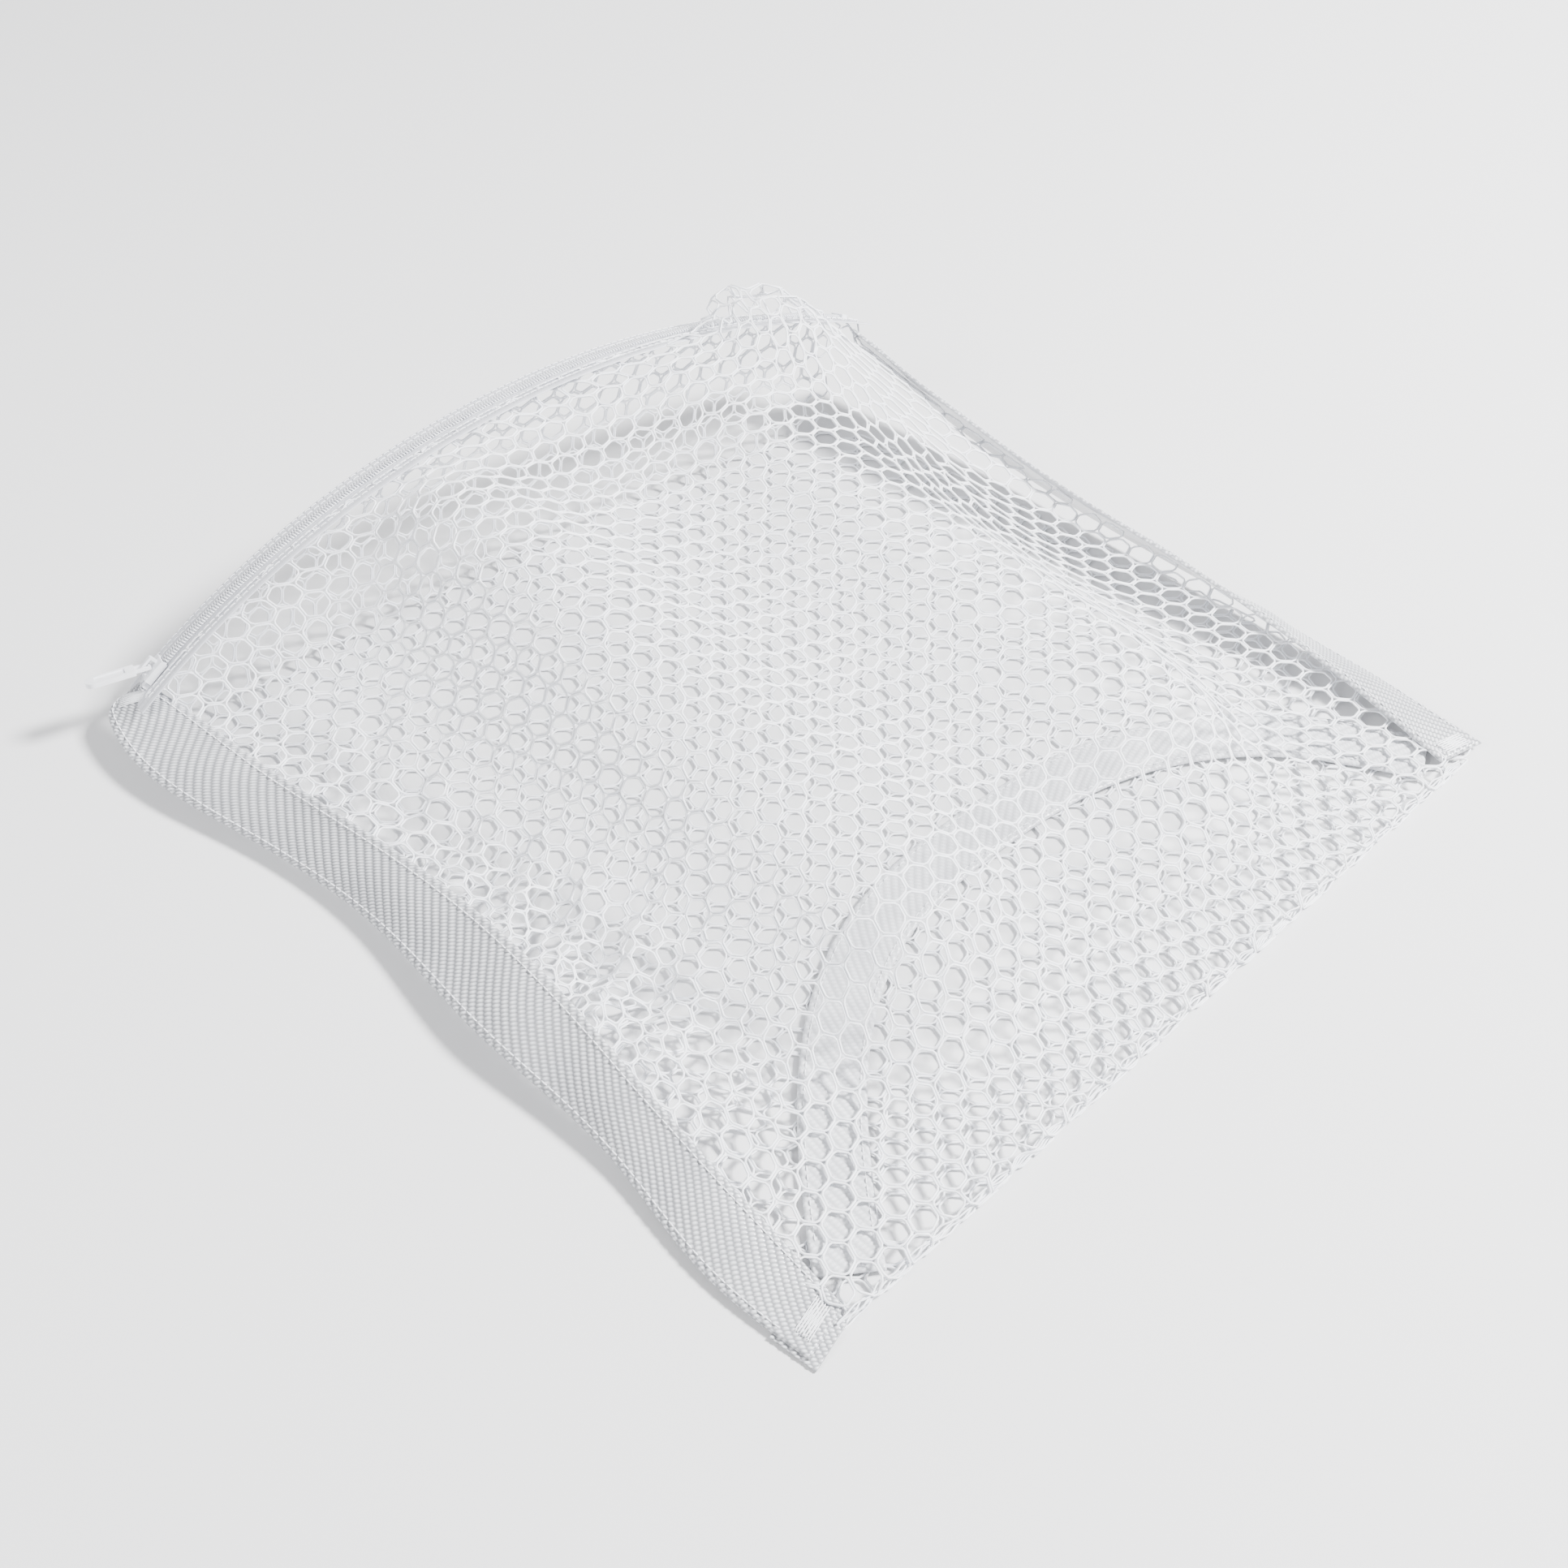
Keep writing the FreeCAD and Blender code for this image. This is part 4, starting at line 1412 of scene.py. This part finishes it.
@dataclass
class Zipper:
    """Tapes, rows of coil and stops."""

    STITCH_ROWS = (8.6 * MM, 12.4 * MM)     # from the middle of the chain
    STITCH_ENDS = (7.0 * MM, 8.0 * MM)      # bare tape at the front and rear ends
    COIL_ENDS = (5.4 * MM, 10.0 * MM)       # chain without coil at those ends

    chain: Chain
    wardrobe: Wardrobe
    tape_width: float = 15.0 * MM
    tape_gap: float = 0.9 * MM
    tape: float = 0.7 * MM
    rib: float = 0.10 * MM
    rib_pitch: float = 1.1 * MM
    pick: float = 0.05 * MM
    pick_pitch: float = 0.9 * MM
    coil_height: float = 2.0 * MM
    coil_middle: float = 1.35 * MM
    coil_reach: float = 1.65 * MM
    pitch: float = 1.35 * MM
    wire: float = 0.34 * MM
    stitch_pitch: float = 3.6 * MM
    stitch: float = 2.9 * MM
    stitch_crown: float = 0.28 * MM
    thread: float = 0.22 * MM
    net_on_tape: float = 0.9 * MM

    def weave_tape(self, side: Side) -> None:
        """Weave one tape, ribbed along its length, with painted shade in the grooves between its ribs.

        Args:
            side: the side of the chain that it is on.
        """
        along = np.linspace(-self.chain.half, self.chain.half, 560)
        shares = np.linspace(0.0, 1.0, 30)
        across = side.value * (self.tape_gap + (self.tape_width - self.tape_gap) * shares)
        ribs = np.abs(np.sin(np.abs(across) / self.rib_pitch * math.pi))
        picks = np.sin(along * self.chain.radius / self.pick_pitch * math.pi)
        edge = ease(np.minimum(shares, 1 - shares) / 0.06)
        high = self.tape * 0.75 + (self.rib * ribs)[None, :] + (self.pick * picks)[:, None]
        high = high * (0.4 + 0.6 * edge)[None, :]
        angle = np.broadcast_to(along[:, None], high.shape)
        wide = np.broadcast_to(across[None, :], high.shape)
        corners, faces = slab(self.chain.point(angle, wide, high),
                              self.chain.point(angle, wide, np.zeros_like(high)))
        if side is Side.UPPER:
            faces = [block[:, ::-1] for block in faces]
        # Painted shade mask: the grooves between the ribs take the material's painted shade colour.
        tone = np.broadcast_to(ribs ** 0.5, high.shape)
        name = side.name.lower()
        piece = mesh_object(f"tape_{name}", corners, faces, with_back(tone, corners))
        self.wardrobe.dress(piece, Slot.TAPE)
        join_bag(piece, f"zipper_tape_{name}")

    def wind_coil(self, side: Side, steps: int = 10) -> None:
        """Wind one nylon filament along a tape.

        Args:
            side: the side of the chain that it is on.
            steps: points to a turn.
        """
        start = -self.chain.half + self.chain.arc(self.COIL_ENDS[0])
        end = self.chain.half - self.chain.arc(self.COIL_ENDS[1])
        turns = int((end - start) * self.chain.radius / self.pitch)
        phase = np.arange(turns * steps + 1) / steps
        turn = phase * 2.0 * math.pi
        across = side.value * (self.coil_middle - self.coil_reach * np.cos(turn))
        above = self.tape + 0.5 * self.coil_height + (0.5 * self.coil_height - self.wire) * np.sin(turn)
        shift = 0.5 if side is Side.LOWER else 0.0
        angle = start + (phase + shift) * self.pitch / self.chain.radius
        line = self.chain.point(angle, across, above)
        along = np.cross(self.chain.outward[None], self.chain.axes(angle)[0])
        points, faces = capped(line[None], along[None], self.wire, 5)
        piece = mesh_object(f"coil_{side.name.lower()}", points, faces)
        self.wardrobe.dress(piece, Slot.COIL)
        join_bag(piece, f"zipper_coil_{side.name.lower()}")

    def sew_tape(self, side: Side) -> None:
        """Sew one tape down with its rows of thread.

        Args:
            side: the side of the chain that it is on.
        """
        front_end, rear_end = (self.chain.arc(length) for length in self.STITCH_ENDS)
        start = np.arange(-self.chain.half + front_end, self.chain.half - rear_end,
                          self.chain.arc(self.stitch_pitch))
        share = np.linspace(0.0, 1.0, 7)
        one_row = start[:, None] + share[None, :] * self.chain.arc(self.stitch)
        angle = np.tile(one_row, (len(self.STITCH_ROWS), 1))
        across = side.value * np.repeat(self.STITCH_ROWS, len(start))[:, None] + np.zeros_like(angle)
        above = self.tape + self.stitch_crown * np.sin(math.pi * share) ** 0.5 - 0.05 * MM
        if side is Side.UPPER:
            above = above + self.net_on_tape
        line = self.chain.point(angle, across, np.broadcast_to(above, angle.shape))
        points, faces = capped(line, self.chain.axes(angle)[2], self.thread, 6)
        piece = mesh_object(f"tape_stitches_{side.name.lower()}", points, faces)
        self.wardrobe.dress(piece, Slot.THREAD)
        join_bag(piece, f"zipper_stitching_{side.name.lower()}")

    def build(self) -> None:
        """Make every piece of the zipper that stays on the bag."""
        for make in (self.weave_tape, self.wind_coil, self.sew_tape):
            for side in Side:
                make(side)
        for node in ("zipper_top_stops", "zipper_bottom_stop"):
            self.wardrobe.dress_node(node, Slot.STOP)


# ---------------------------------------------------------------- studio
@dataclass
class Studio:
    """Pale floor, soft light and the camera."""

    azimuth: float = math.radians(45.0)
    elevation: float = math.radians(46.0)
    distance: float = 0.9192
    target: tuple[float, float, float] = (0.0, -0.018, 0.0)
    lens: float = 50.0

    def floor(self) -> None:
        """Lay the floor."""
        bpy.ops.mesh.primitive_plane_add(size=12.0, location=(0.0, 0.0, -0.0002))
        floor = bpy.context.object
        floor.name = "studio_floor"
        material, _, shader = new_material("studio_floor")
        shader.inputs["Base Color"].default_value = (0.70, 0.70, 0.705, 1.0)
        shader.inputs["Roughness"].default_value = 0.8
        floor.data.materials.append(material)

    def lamp(self, name: str, place: tuple[float, float, float], size: float, power: float) -> None:
        """Hang one soft square lamp that faces the bag.

        Args:
            name: the lamp's name.
            place: where it hangs.
            size: its side.
            power: its power in watts.
        """
        light = bpy.data.lights.new(name, "AREA")
        light.shape = "SQUARE"
        light.size = size
        light.energy = power
        lamp = bpy.data.objects.new(name, light)
        lamp.location = place
        lamp.rotation_euler = (-Vector(place)).to_track_quat("-Z", "Y").to_euler()
        bpy.context.scene.collection.objects.link(lamp)

    def build(self) -> None:
        """Set the stage, the lamps and the camera."""
        self.floor()
        world = bpy.data.worlds.new("studio_air")
        world.use_nodes = True
        background = world.node_tree.nodes["Background"]
        background.inputs["Color"].default_value = (0.96, 0.97, 1.0, 1.0)
        background.inputs["Strength"].default_value = 0.80
        bpy.context.scene.world = world
        self.lamp("key_lamp", (1.1, 1.25, 1.75), 0.5, 285.0)
        self.lamp("fill_lamp", (-0.3, -1.4, 1.2), 0.9, 26.0)
        camera = bpy.data.objects.new("camera", bpy.data.cameras.new("camera"))
        camera.data.lens = self.lens
        camera.data.sensor_width = 36.0
        level, up = math.cos(self.elevation), math.sin(self.elevation)
        back = Vector((math.sin(self.azimuth) * level, -math.cos(self.azimuth) * level, up))
        camera.location = Vector(self.target) + back * self.distance
        camera.rotation_euler = (-back).to_track_quat("-Z", "Y").to_euler()
        bpy.context.scene.collection.objects.link(camera)
        bpy.context.scene.camera = camera


def main() -> None:
    """Build every piece of the bag in order, then the studio."""
    logging.basicConfig(level=logging.INFO, format="%(message)s")
    wardrobe = Wardrobe()
    chain = Chain()
    outline = Outline()
    UpperPanel(chain, outline, wardrobe).build()
    LowerPanel(chain, outline, wardrobe).build()
    front = TwillBand("front_band", "front_side_band", outline.front_high_edge, outline.front_low_edge,
                      wardrobe, folded_under=True)
    rear = TwillBand("rear_band", "rear_side_band", outline.rear_high, outline.rear_low,
                     wardrobe, mirrored=True)
    # The foot band's least painted-shade mask value of 0.5 halves the painted shade in its weave.
    foot = TwillBand("foot_seam_band", "foot_band", *outline.foot_edges(),
                     wardrobe, mirrored=True, arch=0.0, ripple=0.0, grain=0.62 * MM, shade_mask_floor=0.5)
    for band in (front, rear, foot):
        band.build()
    seams = Seams(wardrobe)
    seams.rows(front, "front_stitches", "front_band_stitching")
    seams.rows(rear, "rear_stitches", "rear_band_stitching")
    seams.rows(foot, "foot_stitches", "foot_band_stitching")
    seams.tacks((front, rear))
    Zipper(chain, wardrobe).build()
    for node, slot in (("slider_body", Slot.SLIDER), ("slider_crown", Slot.SLIDER), ("pull_tab", Slot.PULL)):
        wardrobe.dress_node(node, slot)
    Studio().build()


if __name__ == "__main__":
    main()
